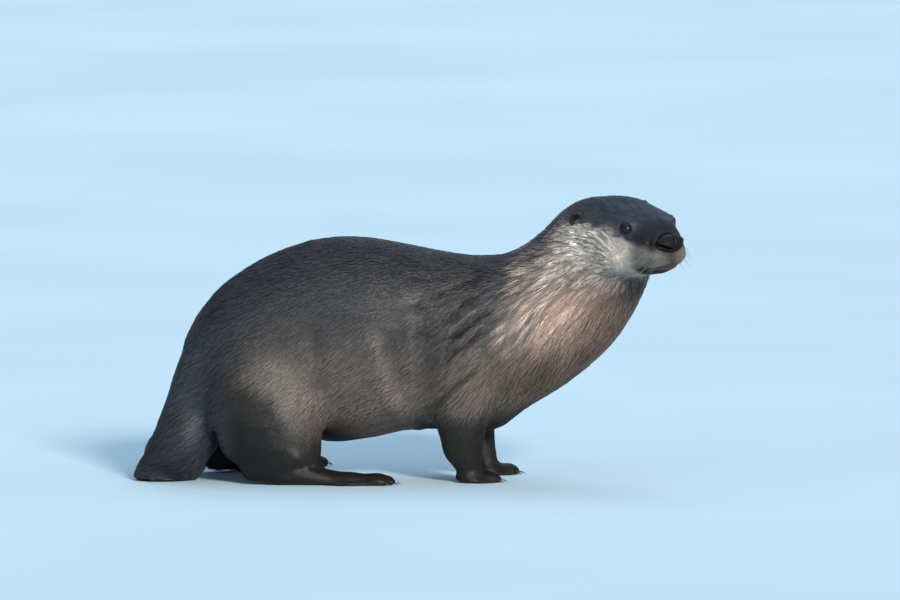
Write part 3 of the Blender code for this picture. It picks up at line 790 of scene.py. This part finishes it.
def uphill(values, points, pairs):
    """Which way the values grow at each point."""
    a, b = pairs[:, 0], pairs[:, 1]
    run = points[b] - points[a]
    pull = run * ((values[b] - values[a]) / np.sum(run * run, axis=1))[:, None]
    flow = np.zeros_like(points)
    for k in range(3):
        flow[:, k] = np.bincount(a, pull[:, k], len(flow)) + np.bincount(b, pull[:, k], len(flow))
    return unit(flow)


class Hide:
    """A surface that a coat grows on: its faces, how the hair lies, and its depth, length and colour."""

    def __init__(self, bm, lie, depth_of, length_of, paint):
        self.tree = BVHTree.FromBMesh(bm)
        self.points, self.normals = points_of(bm), normals_of(bm)
        squares = [f for f in bm.faces if len(f.verts) == 4]
        crossed = [(f.verts[k].index, f.verts[k + 2].index) for f in squares for k in (0, 1)]
        self.pairs = np.concatenate([neighbours(bm), np.array(crossed)])
        self.corners = np.array([[v.index for v in f.verts][:3] + [f.verts[-1].index] for f in bm.faces])
        self.areas = np.array([f.calc_area() for f in bm.faces])
        self.depth_of, self.length_of, self.paint = depth_of, length_of, paint
        self.far, flow = lie(self)
        self.face_flow = unit(flow[self.corners].mean(1))
        self.face_normal = unit(self.normals[self.corners].mean(1))
        self.middles = self.points[self.corners].mean(1)

    def along_surface(self, vectors):
        return unit(vectors - np.sum(vectors * self.normals, axis=1)[:, None] * self.normals)

    def landed(self, points):
        """The nearest places on the surface, and the faces they are on."""
        found = [self.tree.find_nearest(p) for p in points.tolist()]
        return np.array([f[0] for f in found], float), np.array([f[2] for f in found])


def body_lie(hide):
    """Hair runs from the nose back and down, to the tail's tip and the toes."""
    far = distance_from_nose(hide.points, hide.pairs)
    flow = uphill(far, hide.points, hide.pairs)
    for _ in range(40):
        flow = hide.along_surface(flow + averaged(flow, hide.pairs))
    flow[:, 2] -= DROOP * step(-250, -100, hide.points[:, 0]) * (1 - step(20, 60, to_head(hide.points)[:, 0]))
    for _ in range(10):
        flow = hide.along_surface(flow + averaged(flow, hide.pairs))
    return far, flow


def ear_lie(hide):
    """Hair on an ear runs up and back to its rim."""
    way = from_head([EAR_LIE]) - from_head([(0, 0, 0)])
    return np.zeros(len(hide.points)), hide.along_surface(np.repeat(way, len(hide.points), axis=0))


# ---------------------------------------------------------------- tufts


def tuft_shape(*rings):
    """One pointed tuft spun from its side line: corners as (along, across, up), and its faces."""
    bm = bmesh.new()
    line = [bm.verts.new((0, 0, 0))]
    line += [bm.verts.new((along, 0, radius)) for along, radius in rings]
    line.append(bm.verts.new((1, 0, 0)))
    line += [bm.edges.new(pair) for pair in zip(line[:-1], line[1:])]
    bmesh.ops.spin(
        bm, geom=line, cent=(0, 0, 0), axis=(1, 0, 0), angle=math.tau, steps=3, use_merge=True
    )
    bmesh.ops.remove_doubles(bm, verts=bm.verts, dist=1e-5)
    bmesh.ops.dissolve_degenerate(bm, dist=1e-6, edges=bm.edges)
    bmesh.ops.recalc_face_normals(bm, faces=bm.faces)
    bm.verts.index_update()
    shape = points_of(bm), [[v.index for v in f.verts] for f in bm.faces]
    bm.free()
    return shape


SHORT_TUFT = tuft_shape((0.42, 0.5))
LONG_TUFT = tuft_shape((0.28, 0.5), (0.62, 0.42))


def lock_gap(points):
    """How far apart the locks lie."""
    head = to_head(points)
    gap = BODY_GAP + WET_GAP_EXTRA * step(0.5, 0.9, wetness(points))
    gap = toward(gap, HEAD_GAP, on_head(head))
    gap = toward(gap, MUZZLE_GAP, on_snout(head))
    return toward(gap, FOOT_GAP, on_toes(points, head))


def coat_length(points, wet):
    head = to_head(points)
    length = BODY_HAIR + WET_BODY_EXTRA * step(0.5, 0.95, wet)
    length = toward(length, LEG_HAIR, on_legs(points[:, 0], points[:, 2], 40, 100))
    length = toward(length, FOOT_HAIR, on_toes(points, head))
    crown = step(-25, 15, head[:, 0]) * step(-60, -44, head[:, 2])
    length = toward(length, HEAD_HAIR + WET_HEAD_EXTRA * wet, crown)
    length = toward(length, MUZZLE_HAIR, on_snout(head))
    oval = round_eye(head)[3]
    return np.where(oval < 5, np.minimum(length, 1.3 + 3.9 * step(1.1, 4.8, oval)), length)


def bare(points, normals):
    """Where no hair grows: the eye openings, mouth line, nose and soles."""
    head = to_head(points)
    gone = (round_eye(head)[3] < 1.12) | (from_nose(head) < 0.93)
    for gap in side_gaps(head, MOUTH):
        gone |= gap < 0.9
    return gone | (points[:, 2] < 5) & (normals[:, 2] < -0.45)


def grown(hide, cover, rng):
    """Roots spread evenly over a hide, with each tuft's length, width and wetness."""
    wet = wetness(hide.middles)
    length = hide.length_of(hide.middles, wet)
    width = np.clip(length * TUFT_WIDTH, LEAST_WIDTH, MOST_WIDTH)
    per_face = hide.areas * cover / (length * width)
    count = (per_face + rng.random(len(per_face))).astype(int)
    face = np.repeat(np.arange(len(count)), count)
    a, b = rng.random((2, len(face)))
    a, b = np.where(a + b > 1, 1 - a, a), np.where(a + b > 1, 1 - b, b)
    far_corner = np.where(rng.random(len(face)) < 0.5, 1, 3)
    p = hide.points[hide.corners[face]]
    across = p[np.arange(len(face)), far_corner] - p[:, 0]
    root = p[:, 0] + a[:, None] * (p[:, 2] - p[:, 0]) + b[:, None] * across
    length = length[face] * rng.uniform(0.75, 1.25, len(face))
    return (root, face, length, width[face], wet[face]), ~bare(root, hide.face_normal[face])


def laid(hide, root, face, length, stops, sway):
    """Lays each tuft's line along the surface: the place and face of every stop."""
    places, faces = [root], [face]
    here, at, done = root, face, 0.0
    for stop in stops:
        way = hide.face_flow[at]
        side = np.cross(hide.face_normal[at], way)
        way = unit(way + side * sway[:, None])
        here, at = hide.landed(here + way * (length * (stop - done))[:, None])
        places.append(here)
        faces.append(at)
        done = stop
    return places, faces


def lock_points(hide, seed):
    """Places over a hide that the hairs of a lock run together to."""
    rng = np.random.default_rng(seed)
    chance = hide.areas / lock_gap(hide.middles) ** 2
    face = np.nonzero(rng.random(len(chance)) < chance)[0]
    tree = KDTree(len(face))
    for k, point in enumerate(hide.middles[face].tolist()):
        tree.insert(point, k)
    tree.balance()
    return hide.middles[face], face, tree


def gathered(hide, places, length, stops, wet, locks):
    """Draws the tufts of a lock together to the lock's own line, as wet hair hangs."""
    starts, start_face, tree = locks
    root = places[0]
    own = np.array([tree.find(p)[1] for p in root.tolist()])
    usual = np.full(len(starts), float(np.median(length)))
    lines, _ = laid(hide, starts, start_face, usual, stops, np.zeros(len(starts)))
    run = unit(lines[-1] - lines[0])[own]
    off = root - starts[own]
    off -= np.sum(off * run, axis=1)[:, None] * run
    drawn = [root]
    for place_now, stop in zip(places[1:], stops):
        drawn.append(place_now - off * (0.9 * stop**0.8 * wet)[:, None])
    return drawn, own, reach(off)


def stood_up(hide, face, lines, at, rise, width, corners, stops):
    """Every tuft's corners, its line lifted off the skin and its width laid across it."""
    normal = hide.face_normal
    lifts = [np.full(len(rise), -ROOT_SINK)]
    lifts += [rise * (min(1, stop / 0.5) - 0.12 * (stop > 0.9)) for stop in stops]
    lines = [line + normal[under] * lift[:, None] for line, under, lift in zip(lines, at, lifts)]
    way = unit(lines[-1] - lines[0])
    up = unit(normal[face] - np.sum(normal[face] * way, axis=1)[:, None] * way)
    side = np.cross(up, way)
    at_stop = {stop: k for k, stop in enumerate([0.0] + stops)}
    made = np.empty((len(rise), len(corners), 3))
    for k, (along, across, high) in enumerate(corners):
        middle = lines[at_stop[round(float(along), 4)]]
        made[:, k] = middle + side * (across * width)[:, None] + up * (high * width * 0.55)[:, None]
    made[:, :, 2] = np.maximum(made[:, :, 2], FLOOR_CLEARANCE)
    return made


def grow_coat(name, hide, shape, cover, seed, locks, only=None):
    """A coat of tufts over a hide, in pieces small enough to keep whole."""
    rng = np.random.default_rng(seed)
    tufts, keep = grown(hide, cover, rng)
    tufts = [values[keep] for values in tufts]
    if only is not None:
        keep = only(tufts[0])
        tufts = [values[keep] for values in tufts]
    root, face, length, width, wet = tufts
    corners, faces = shape
    stops = sorted({round(float(along), 4) for along in corners[:, 0]} - {0.0})
    places, at = laid(hide, root, face, length, stops, rng.normal(0, SWAY, len(root)))
    drawn, own, gap = gathered(hide, places, length, stops, wet, locks)
    crest = np.clip(1.15 - gap / (0.55 * lock_gap(root)), 0, 1)
    rise = hide.depth_of(root) * rng.uniform(0.6, 1.0, len(root)) * (1 - 0.5 * wet * (1 - crest))
    made = stood_up(hide, face, drawn, at, rise, width, corners, stops)

    lock_tone = np.random.default_rng(SEED).normal(0, 1, len(locks[0]))[own]
    # darker away from each wet lock's crest: the wet fur's own darker tone and painted shade in the gaps
    # between locks
    tone = (1 + rng.normal(0, 0.07, len(root)) + 0.16 * wet * lock_tone) * (1 - 0.62 * wet * (1 - crest))
    colour = hide.paint(root) * np.clip(tone, 0.25, 1.6)[:, None]
    unwrapped = unwrap(root)
    loose = np.maximum(wet, 0.8 * on_head(to_head(root)))
    own_share = toward(OWN_NORMAL_SLEEK, OWN_NORMAL_WET, loose)[:, None, None]
    hide_way = hide.face_normal[face][:, None] * (1 - own_share)

    order = np.argsort(hide.far[hide.corners[face][:, 0]], kind="stable")
    pieces = math.ceil(len(order) / (MOST_TRIANGLES // sum(len(f) - 2 for f in faces)))
    for number, part in enumerate(np.array_split(order, pieces)):
        label = name if pieces == 1 else f"{name}_{number + 1}"
        tuft_piece(label, made[part], shape, own_share[part], hide_way[part], colour[part], unwrapped[part])


def tuft_piece(name, made, shape, own_share, hide_way, colour, unwrapped):
    """One mesh of many like tufts, each with its colour and its small patch of the coat's map."""
    corners, faces = shape
    tufts, size = made.shape[:2]
    loops = np.concatenate([np.array(f) for f in faces])
    starts = np.cumsum([0] + [len(f) for f in faces[:-1]])
    each = np.arange(tufts)[:, None]
    mesh = bpy.data.meshes.new(name)
    mesh.vertices.add(tufts * size)
    mesh.loops.add(tufts * len(loops))
    mesh.polygons.add(tufts * len(faces))
    mesh.vertices.foreach_set("co", (made * MM).astype(np.float32).ravel())
    mesh.loops.foreach_set("vertex_index", (loops[None] + each * size).astype(np.int32).ravel())
    mesh.polygons.foreach_set("loop_start", (starts[None] + each * len(loops)).astype(np.int32).ravel())
    mesh.update(calc_edges=True)
    mesh.polygons.foreach_set("use_smooth", np.ones(tufts * len(faces), bool))
    own = np.empty(tufts * size * 3, np.float32)
    mesh.vertex_normals.foreach_get("vector", own)
    soft = unit(own.reshape(tufts, size, 3) * own_share + hide_way)
    mesh.normals_split_custom_set_from_vertices(soft.reshape(-1, 3).tolist())
    # each tuft darker at the root and painted lighter towards the tip as a sheen
    coloured(mesh, colour[:, None] * toward(ROOT_TONE, PAINTED_TIP_SHEEN, corners[:, 0])[None, :, None])
    spread = np.stack([corners[:, 0], corners[:, 1] + 0.5], axis=1) * MAP_PATCH
    spots = (unwrapped[:, None] + spread[None])[:, loops]
    mesh.uv_layers.new(name="OFBake").data.foreach_set("uv", spots.astype(np.float32).ravel())
    settled_piece(linked(name, mesh), COAT_FINISH)


def coloured(mesh, colours):
    """Keeps a colour at every corner of a mesh, for the hair finishes."""
    layer = mesh.color_attributes.new("coat_colour", "FLOAT_COLOR", "POINT")
    rgba = np.ones((len(mesh.vertices), 4), np.float32)
    rgba[:, :3] = colours.reshape(-1, 3)
    layer.data.foreach_set("color", rgba.ravel())


# ---------------------------------------------------------------- the unwrap that the coat's map uses

MAP_PATCH = 0.003
MAP_BOXES = [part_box(node) for node in FLESH + ["ear_left", "ear_right"]]
MAP_ACROSS = 5
MAP_MARGIN, MAP_FILL = 0.04, 0.90


def unwrap(points):
    """Wraps each solid's skin off round its own long side, one square of the map for each."""
    result = np.zeros((len(points), 2))
    best = np.full(len(points), 1e9)
    for number, (low, high) in enumerate(MAP_BOXES):
        low, high = np.array(low) / MM, np.array(high) / MM
        middle, half = (low + high) / 2, (high - low) / 2
        outside = np.max(np.abs(points - middle) / half, axis=1)
        long = int(np.argmax(half))
        one, two = [k for k in range(3) if k != long]
        arm = points - middle
        round_way = np.arctan2(arm[:, one] / half[one], arm[:, two] / half[two]) / math.tau + 0.5
        along = np.clip((points[:, long] - low[long]) / (2 * half[long]), 0, 1)
        square = np.array(divmod(number, MAP_ACROSS)[::-1])
        spot = (square + MAP_MARGIN + MAP_FILL * np.stack([along, round_way], axis=1)) / MAP_ACROSS
        nearer = outside < best
        result[nearer], best[nearer] = spot[nearer], outside[nearer]
    return result


# ---------------------------------------------------------------- finishes


def group(name, inputs, outputs):
    """An empty node group with the named sockets."""
    tree = bpy.data.node_groups.new(name, "ShaderNodeTree")
    for label, kind, value in inputs:
        socket = tree.interface.new_socket(label, in_out="INPUT", socket_type=f"NodeSocket{kind}")
        if value is not None:
            socket.default_value = value
    for label, kind in outputs:
        tree.interface.new_socket(label, in_out="OUTPUT", socket_type=f"NodeSocket{kind}")
    return tree, tree.nodes.new("NodeGroupInput"), tree.nodes.new("NodeGroupOutput")


def node(tree, kind, **settings):
    made = tree.nodes.new(f"ShaderNode{kind}")
    for key, value in settings.items():
        setattr(made, key, value)
    return made


def fed(tree, value, socket):
    """Sets a socket to a number, or links another socket to it."""
    if isinstance(value, (int, float)):
        socket.default_value = value
    else:
        tree.links.new(value, socket)


def object_place(tree):
    return node(tree, "TexCoord").outputs["Object"]


def noise_at(tree, place_socket, scale, detail):
    noise = node(tree, "TexNoise")
    noise.inputs["Detail"].default_value = detail
    fed(tree, scale, noise.inputs["Scale"])
    tree.links.new(place_socket, noise.inputs["Vector"])
    return noise.outputs["Fac"]


def ranged(tree, value, low, high):
    """Spreads a noise's usual range, 0.3 to 0.7, over low to high."""
    made = node(tree, "MapRange")
    tree.links.new(value, made.inputs["Value"])
    for key, number in (("From Min", 0.3), ("From Max", 0.7), ("To Min", low), ("To Max", high)):
        fed(tree, number, made.inputs[key])
    return made.outputs["Result"]


def times(tree, colour, factor):
    """A colour made lighter or darker by a value."""
    made = node(tree, "VectorMath", operation="SCALE")
    tree.links.new(colour, made.inputs[0])
    tree.links.new(factor, made.inputs["Scale"])
    return made.outputs["Vector"]


def hair_grain():
    """Fine unevenness of hair: darker and lighter strands, a height for bump, and a wet or dry mask."""
    sizes = (("Size", 600.0), ("Least", 0.8), ("Most", 1.2))
    inputs = [("Colour", "Color", None)] + [(key, "Float", value) for key, value in sizes]
    outputs = (("Colour", "Color"), ("Height", "Float"), ("Wet", "Float"))
    tree, given, out = group("hair_grain", inputs, outputs)
    place_socket = object_place(tree)
    strands = noise_at(tree, place_socket, given.outputs["Size"], 4)
    shade = ranged(tree, strands, given.outputs["Least"], given.outputs["Most"])
    tree.links.new(times(tree, given.outputs["Colour"], shade), out.inputs["Colour"])
    tree.links.new(strands, out.inputs["Height"])
    tree.links.new(noise_at(tree, place_socket, 42.0, 2), out.inputs["Wet"])
    return tree


def pebble():
    """Small leather cells, as on a nose pad or a claw."""
    inputs = (("Size", "Float", 900.0), ("Dark", "Color", None), ("Light", "Color", None))
    tree, given, out = group("pebble", inputs, (("Colour", "Color"), ("Height", "Float"), ("Worn", "Float")))
    place_socket = object_place(tree)
    cells = node(tree, "TexVoronoi", feature="SMOOTH_F1")
    tree.links.new(place_socket, cells.inputs["Vector"])
    tree.links.new(given.outputs["Size"], cells.inputs["Scale"])
    mix = node(tree, "Mix", data_type="RGBA")
    tree.links.new(cells.outputs["Distance"], mix.inputs["Factor"])
    tree.links.new(given.outputs["Light"], mix.inputs["A"])
    tree.links.new(given.outputs["Dark"], mix.inputs["B"])
    tree.links.new(mix.outputs["Result"], out.inputs["Colour"])
    tree.links.new(cells.outputs["Distance"], out.inputs["Height"])
    tree.links.new(noise_at(tree, place_socket, 260.0, 3), out.inputs["Worn"])
    return tree


def material(name, roughness=0.5, **constants):
    made = bpy.data.materials.new(name)
    made.use_nodes = True
    shader = made.node_tree.nodes["Principled BSDF"]
    shader.inputs["Roughness"].default_value = roughness
    for key, value in constants.items():
        shader.inputs[key.replace("_", " ")].default_value = value
    return made, made.node_tree, shader


def bumped(tree, shader, height, strength, distance):
    bump = node(tree, "Bump")
    bump.inputs["Strength"].default_value = strength
    bump.inputs["Distance"].default_value = distance
    tree.links.new(height, bump.inputs["Height"])
    tree.links.new(bump.outputs["Normal"], shader.inputs["Normal"])


def hair_finish(name, size, least, most, rough, gloss):
    """Hair in the colours that the piece carries, with fine strands and a wet sheen in patches."""
    made, tree, shader = material(name, Specular_IOR_Level=gloss)
    use = node(tree, "Group", node_tree=GRAIN)
    colour = node(tree, "Attribute", attribute_name="coat_colour")
    tree.links.new(colour.outputs["Color"], use.inputs["Colour"])
    for key, value in (("Size", size), ("Least", least), ("Most", most)):
        use.inputs[key].default_value = value
    tree.links.new(use.outputs["Colour"], shader.inputs["Base Color"])
    tree.links.new(ranged(tree, use.outputs["Wet"], *rough), shader.inputs["Roughness"])
    bumped(tree, shader, use.outputs["Height"], 0.35, 0.0004)
    return made


def leather_finish(name, size, dark, light, rough, gloss):
    """Small cells of leather or horn, dark between them and lighter on top."""
    made, tree, shader = material(name, Specular_IOR_Level=gloss)
    use = node(tree, "Group", node_tree=PEBBLE)
    for key, value in (("Size", size), ("Dark", (*dark, 1)), ("Light", (*light, 1))):
        use.inputs[key].default_value = value
    tree.links.new(use.outputs["Colour"], shader.inputs["Base Color"])
    tree.links.new(ranged(tree, use.outputs["Worn"], *rough), shader.inputs["Roughness"])
    bumped(tree, shader, use.outputs["Height"], 0.5, 0.0005)
    return made


# from the pupil's middle to the edge of the iris
IRIS = (
    (0.40, (0.002, 0.002, 0.002)), (0.50, (0.012, 0.007, 0.004)),
    (0.85, (0.008, 0.005, 0.003)), (0.95, (0.004, 0.003, 0.003)),
)


def eye_finish():
    """Dark brown iris round a black pupil, under a clear wet coat."""
    made, tree, shader = material("eye", roughness=0.12, Specular_IOR_Level=0.45)
    ring = node(tree, "Attribute", attribute_name="iris")
    ramp = node(tree, "ValToRGB")
    stops = ramp.color_ramp.elements
    for spot, _ in IRIS[2:]:
        stops.new(spot)
    for stop, (spot, colour) in zip(stops, IRIS):
        stop.position, stop.color = spot, (*colour, 1)
    tree.links.new(ring.outputs["Fac"], ramp.inputs["Fac"])
    shade = ranged(tree, noise_at(tree, object_place(tree), 2400.0, 3), 0.6, 1.4)
    tree.links.new(times(tree, ramp.outputs["Color"], shade), shader.inputs["Base Color"])
    return made


def whisker_finish():
    """Grey to white hair."""
    made, tree, shader = material("whisker", roughness=0.4)
    tone = ranged(tree, noise_at(tree, object_place(tree), 120.0, 1), 0.14, 0.34)
    paint = node(tree, "CombineColor")
    for key in ("Red", "Green", "Blue"):
        tree.links.new(tone, paint.inputs[key])
    tree.links.new(paint.outputs["Color"], shader.inputs["Base Color"])
    return made


GRAIN, PEBBLE = hair_grain(), pebble()
SKIN_FINISH = hair_finish("wet_underfur", 900.0, 0.5, 0.85, (0.35, 0.6), 0.35)
COAT_FINISH = hair_finish("guard_hair", 380.0, 0.8, 1.2, (0.38, 0.52), 0.34)
NOSE_DARK, NOSE_LIGHT = (0.003, 0.003, 0.003), (0.009, 0.008, 0.009)
NOSE_FINISH = leather_finish("nose_leather", 1100.0, NOSE_DARK, NOSE_LIGHT, (0.40, 0.58), 0.13)
CLAW_DARK, CLAW_LIGHT = (0.030, 0.024, 0.020), (0.070, 0.056, 0.044)
CLAW_FINISH = leather_finish("claw_horn", 420.0, CLAW_DARK, CLAW_LIGHT, (0.25, 0.45), 0.5)
EYE_FINISH, WHISKER_FINISH = eye_finish(), whisker_finish()


# ---------------------------------------------------------------- eyes, nose, claws, whiskers


IRIS_REACH = 0.72
CORNEA_HEIGHT, CORNEA_REACH = 0.55, 0.62


def make_eye(side_name, side):
    bm = bmesh.new()
    bmesh.ops.create_uvsphere(bm, u_segments=40, v_segments=24, radius=1)
    out, fore, _ = (axis * (1, side, 1) for axis in eye_axes())
    rings = bm.verts.layers.float.new("iris")
    for vert in bm.verts:
        off_axis = math.hypot(vert.co.x, vert.co.y) if vert.co.z > 0 else 1.5
        vert[rings] = off_axis / IRIS_REACH
        cornea = CORNEA_HEIGHT * math.exp(-((off_axis / CORNEA_REACH) ** 4))
        vert.co = vert.co * (EYE_RADIUS + cornea * (vert.co.z > 0))
    turn = Matrix(np.stack([fore, np.cross(out, fore), out], axis=1).tolist()).to_4x4()
    middle = Vector(np.array(EYE_PLACE) * (1, side, 1))
    bm.transform(head_matrix() @ Matrix.Translation(middle) @ turn)
    eye = finished(bm, f"eyeball_{side_name}", EYE_FINISH)
    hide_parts(f"eye_{side_name}")


def make_nose():
    """A leathery pad, narrower below, with a slit for each nostril and a groove down the middle."""
    bm = bmesh.new()
    bmesh.ops.create_uvsphere(bm, u_segments=150, v_segments=100, radius=1)
    bmesh.ops.scale(bm, vec=NOSE_RADII, verts=bm.verts)
    bmesh.ops.translate(bm, vec=NOSE_PLACE, verts=bm.verts)
    bm.normal_update()
    points, normals = points_of(bm), normals_of(bm)
    high = (points[:, 2] - NOSE_PLACE[2]) / NOSE_RADII[2]
    points[:, 1] *= 1 - 0.30 * step(0.1, 1, -high) - 0.10 * step(0.2, 1, high)
    change = np.zeros(len(points))
    for _, side in SIDES:
        gap, along = away_from_line(points, mirrored(NOSTRIL, side))
        change += groove(gap, toward(*NOSTRIL_DEPTH, along), toward(*NOSTRIL_WIDTH, along))
        change += swelling(gap, *NOSTRIL_EDGE)
    change += groove(points[:, 1], *NOSE_GROOVE) * step(-8, 2, 8 - points[:, 2])
    place(bm, points + change[:, None] * normals)
    bm.transform(head_matrix())
    nose = finished(bm, "nose", NOSE_FINISH)
    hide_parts("nose_pad")


def make_claws():
    for side_name, _ in SIDES:
        for end in ("foreclaw", "hindclaw"):
            nodes = [f"{end}_{side_name}_{number}" for number in range(1, 6)]
            claws = finished(closed_shells(nodes, 0.0), f"{end}s_{side_name}", CLAW_FINISH)
            rounding = claws.modifiers.new("rounding", "SUBSURF")
            rounding.levels = rounding.render_levels = 2
            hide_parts(*nodes)


# whiskers: the first, and what each further one in a row and each lower row adds to its place and its way
WHISKER_ROWS, WHISKERS_IN_ROW = 4, 5
WHISKER_PLACE = np.array(((99.0, 15.0, -9.5), (-4.2, 2.0, 0.0), (-0.8, 0.0, -3.6)))
WHISKER_WAY = np.array(((0.10, 1.0, -0.42), (-0.22, 0.0, 0.0), (0.0, 0.0, -0.10)))
WHISKER_LENGTH, LONGER_BY = (13, 19), 2.5
WHISKER_THICK, THINNER_BY = 0.15, 0.01
WHISKER_STEPS = 7
WHISKER_BEND = (-0.25, 0.0, -0.4)


def make_whiskers(hide):
    """Long stiff hairs in rows on each side of the lip, swept back and down."""
    rng = np.random.default_rng(SEED + 7)
    bm = bmesh.new()
    for _, side in SIDES:
        for row in range(WHISKER_ROWS):
            for number in range(WHISKERS_IN_ROW):
                in_rows = np.array((1, number, row))
                spot, way = in_rows @ WHISKER_PLACE * (1, side, 1), in_rows @ WHISKER_WAY * (1, side, 1)
                start = hide.landed(from_head(spot + rng.normal(0, 0.4, 3))[None])[0][0]
                length = rng.uniform(*WHISKER_LENGTH) + LONGER_BY * number
                way = unit(way + rng.normal(0, 0.05, 3))
                add_whisker(bm, start, way, length, WHISKER_THICK - THINNER_BY * row)
    finished(bm, "whiskers", WHISKER_FINISH)


def add_whisker(bm, start, way, length, thick):
    """One tapering hair, extruded ring by ring and bent down a little at each."""
    stub = bmesh.ops.create_cone(bm, cap_ends=True, segments=5, radius1=thick, radius2=thick, depth=1.0)
    root = stub["verts"]
    heading = Vector(HEAD[:3, :3] @ way)
    turn = Vector((0, 0, 1)).rotation_difference(heading).to_matrix()
    caps = {f for v in root for f in v.link_faces if len(f.verts) == 5}
    face = max(caps, key=lambda f: f.calc_center_median().z)
    for vert in root:
        vert.co = Vector(start) - heading * 0.6 + turn @ vert.co
    for left in range(WHISKER_STEPS, 0, -1):
        heading = (heading + Vector(WHISKER_BEND) / WHISKER_STEPS).normalized()
        face = bmesh.ops.extrude_discrete_faces(bm, faces=[face])["faces"][0]
        centre = face.calc_center_median()
        for vert in face.verts:
            vert.co = centre + (vert.co - centre) * ((left - 0.6) / left) + heading * (length / WHISKER_STEPS)


# ---------------------------------------------------------------- the animal


def skin_piece(bm, name, hide, shade, *nodes):
    """The hide as a piece, a darker underfur in the coat's own markings."""
    piece = finished(bm, name, SKIN_FINISH)
    coloured(piece.data, hide.paint(hide.points) * shade)
    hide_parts(*nodes)


def in_wet_fur(roots):
    return wetness(roots) > LOCKS_FROM


def make_furred_body():
    skin = make_skin()
    hide = Hide(skin, body_lie, coat_depth, coat_length, markings)
    skin_piece(skin, "skin", hide, SKIN_SHADE, *FLESH)
    locks = lock_points(hide, SEED + 3)
    grow_coat("coat", hide, SHORT_TUFT, COAT_COVER, SEED, locks)
    grow_coat("locks", hide, LONG_TUFT, LOCKS_COVER, SEED + 1, locks, only=in_wet_fur)
    return hide


def ear_depth(roots):
    return np.full(len(roots), EAR_DEPTH)


def ear_length(middles, wet):
    return np.full(len(middles), EAR_HAIR)


def make_furred_ears():
    ears = make_ears()
    hide = Hide(ears, ear_lie, ear_depth, ear_length, ear_markings)
    skin_piece(ears, "ears", hide, EAR_SKIN_SHADE, "ear_left", "ear_right")
    grow_coat("ear_coat", hide, SHORT_TUFT, EAR_COVER, SEED + 2, lock_points(hide, SEED + 4))


body_hide = make_furred_body()
make_furred_ears()
for side_name, side in SIDES:
    make_eye(side_name, side)
make_nose()
make_claws()
make_whiskers(body_hide)

# ---------------------------------------------------------------- floor, light and camera

VIEW_MIDDLE = Vector((0.0412, -0.0767, 0.1792))
VIEW_WIDTH = 0.9
VIEW_DISTANCE = 12.0
VIEW_ELEVATION = 5.0
SENSOR = 36.0
FLOOR_RADIUS = 80.0
FLOOR_COLOUR = (0.52, 0.68, 0.78)
SKY_COLOUR, SKY_STRENGTH = (0.70, 0.85, 1.0), 0.58
LAMP_DISTANCE = 4.0

# each lamp: name, then azimuth, elevation and softness in degrees, power, colour
LAMPS = (
    ("key", 24, 26, 12, 3.6, (1.0, 0.93, 0.85)),
    ("top", 165, 55, 40, 0.9, (0.58, 0.80, 1.0)),
)


def make_floor():
    bm = bmesh.new()
    bmesh.ops.create_circle(bm, cap_ends=True, segments=96, radius=FLOOR_RADIUS)
    mesh = bpy.data.meshes.new("floor")
    bm.to_mesh(mesh)
    bm.free()
    floor = linked("floor", mesh)
    made, tree, shader = material("pale_floor", roughness=0.75, Specular_IOR_Level=0.2)
    cloudy = ranged(tree, noise_at(tree, object_place(tree), 1.4, 2), 0.96, 1.04)
    tint = node(tree, "RGB").outputs[0]
    tint.default_value = (*FLOOR_COLOUR, 1)
    tree.links.new(times(tree, tint, cloudy), shader.inputs["Base Color"])
    mesh.materials.append(made)


def aimed(obj, azimuth, elevation, distance):
    """Turns a lamp or the camera to the view's middle. Azimuth 0 is the animal's right, 90 its front."""
    a, e = math.radians(azimuth), math.radians(elevation)
    way = Vector((math.sin(a) * math.cos(e), -math.cos(a) * math.cos(e), math.sin(e)))
    obj.location = VIEW_MIDDLE + way * distance
    obj.rotation_euler = (-way).to_track_quat("-Z", "Y").to_euler()


def add_lamp(name, azimuth, elevation, softness, power, colour):
    lamp = bpy.data.lights.new(name, "SUN")
    lamp.angle, lamp.energy, lamp.color = math.radians(softness), power, colour
    aimed(linked(name, lamp), azimuth, elevation, LAMP_DISTANCE)


def add_camera():
    lens = bpy.data.cameras.new("camera")
    lens.sensor_width = SENSOR
    lens.lens = SENSOR * VIEW_DISTANCE / VIEW_WIDTH
    lens.clip_start, lens.clip_end = 0.1, 400
    camera = linked("camera", lens)
    aimed(camera, 0, VIEW_ELEVATION, VIEW_DISTANCE)
    bpy.context.scene.camera = camera


def light_room():
    world = bpy.data.worlds.new("room")
    bpy.context.scene.world = world
    world.use_nodes = True
    air = world.node_tree.nodes["Background"]
    air.inputs["Color"].default_value = (*SKY_COLOUR, 1)
    air.inputs["Strength"].default_value = SKY_STRENGTH
    for lamp in LAMPS:
        add_lamp(*lamp)
    bpy.context.scene.view_settings.view_transform = "Standard"


make_floor()
add_camera()
light_room()
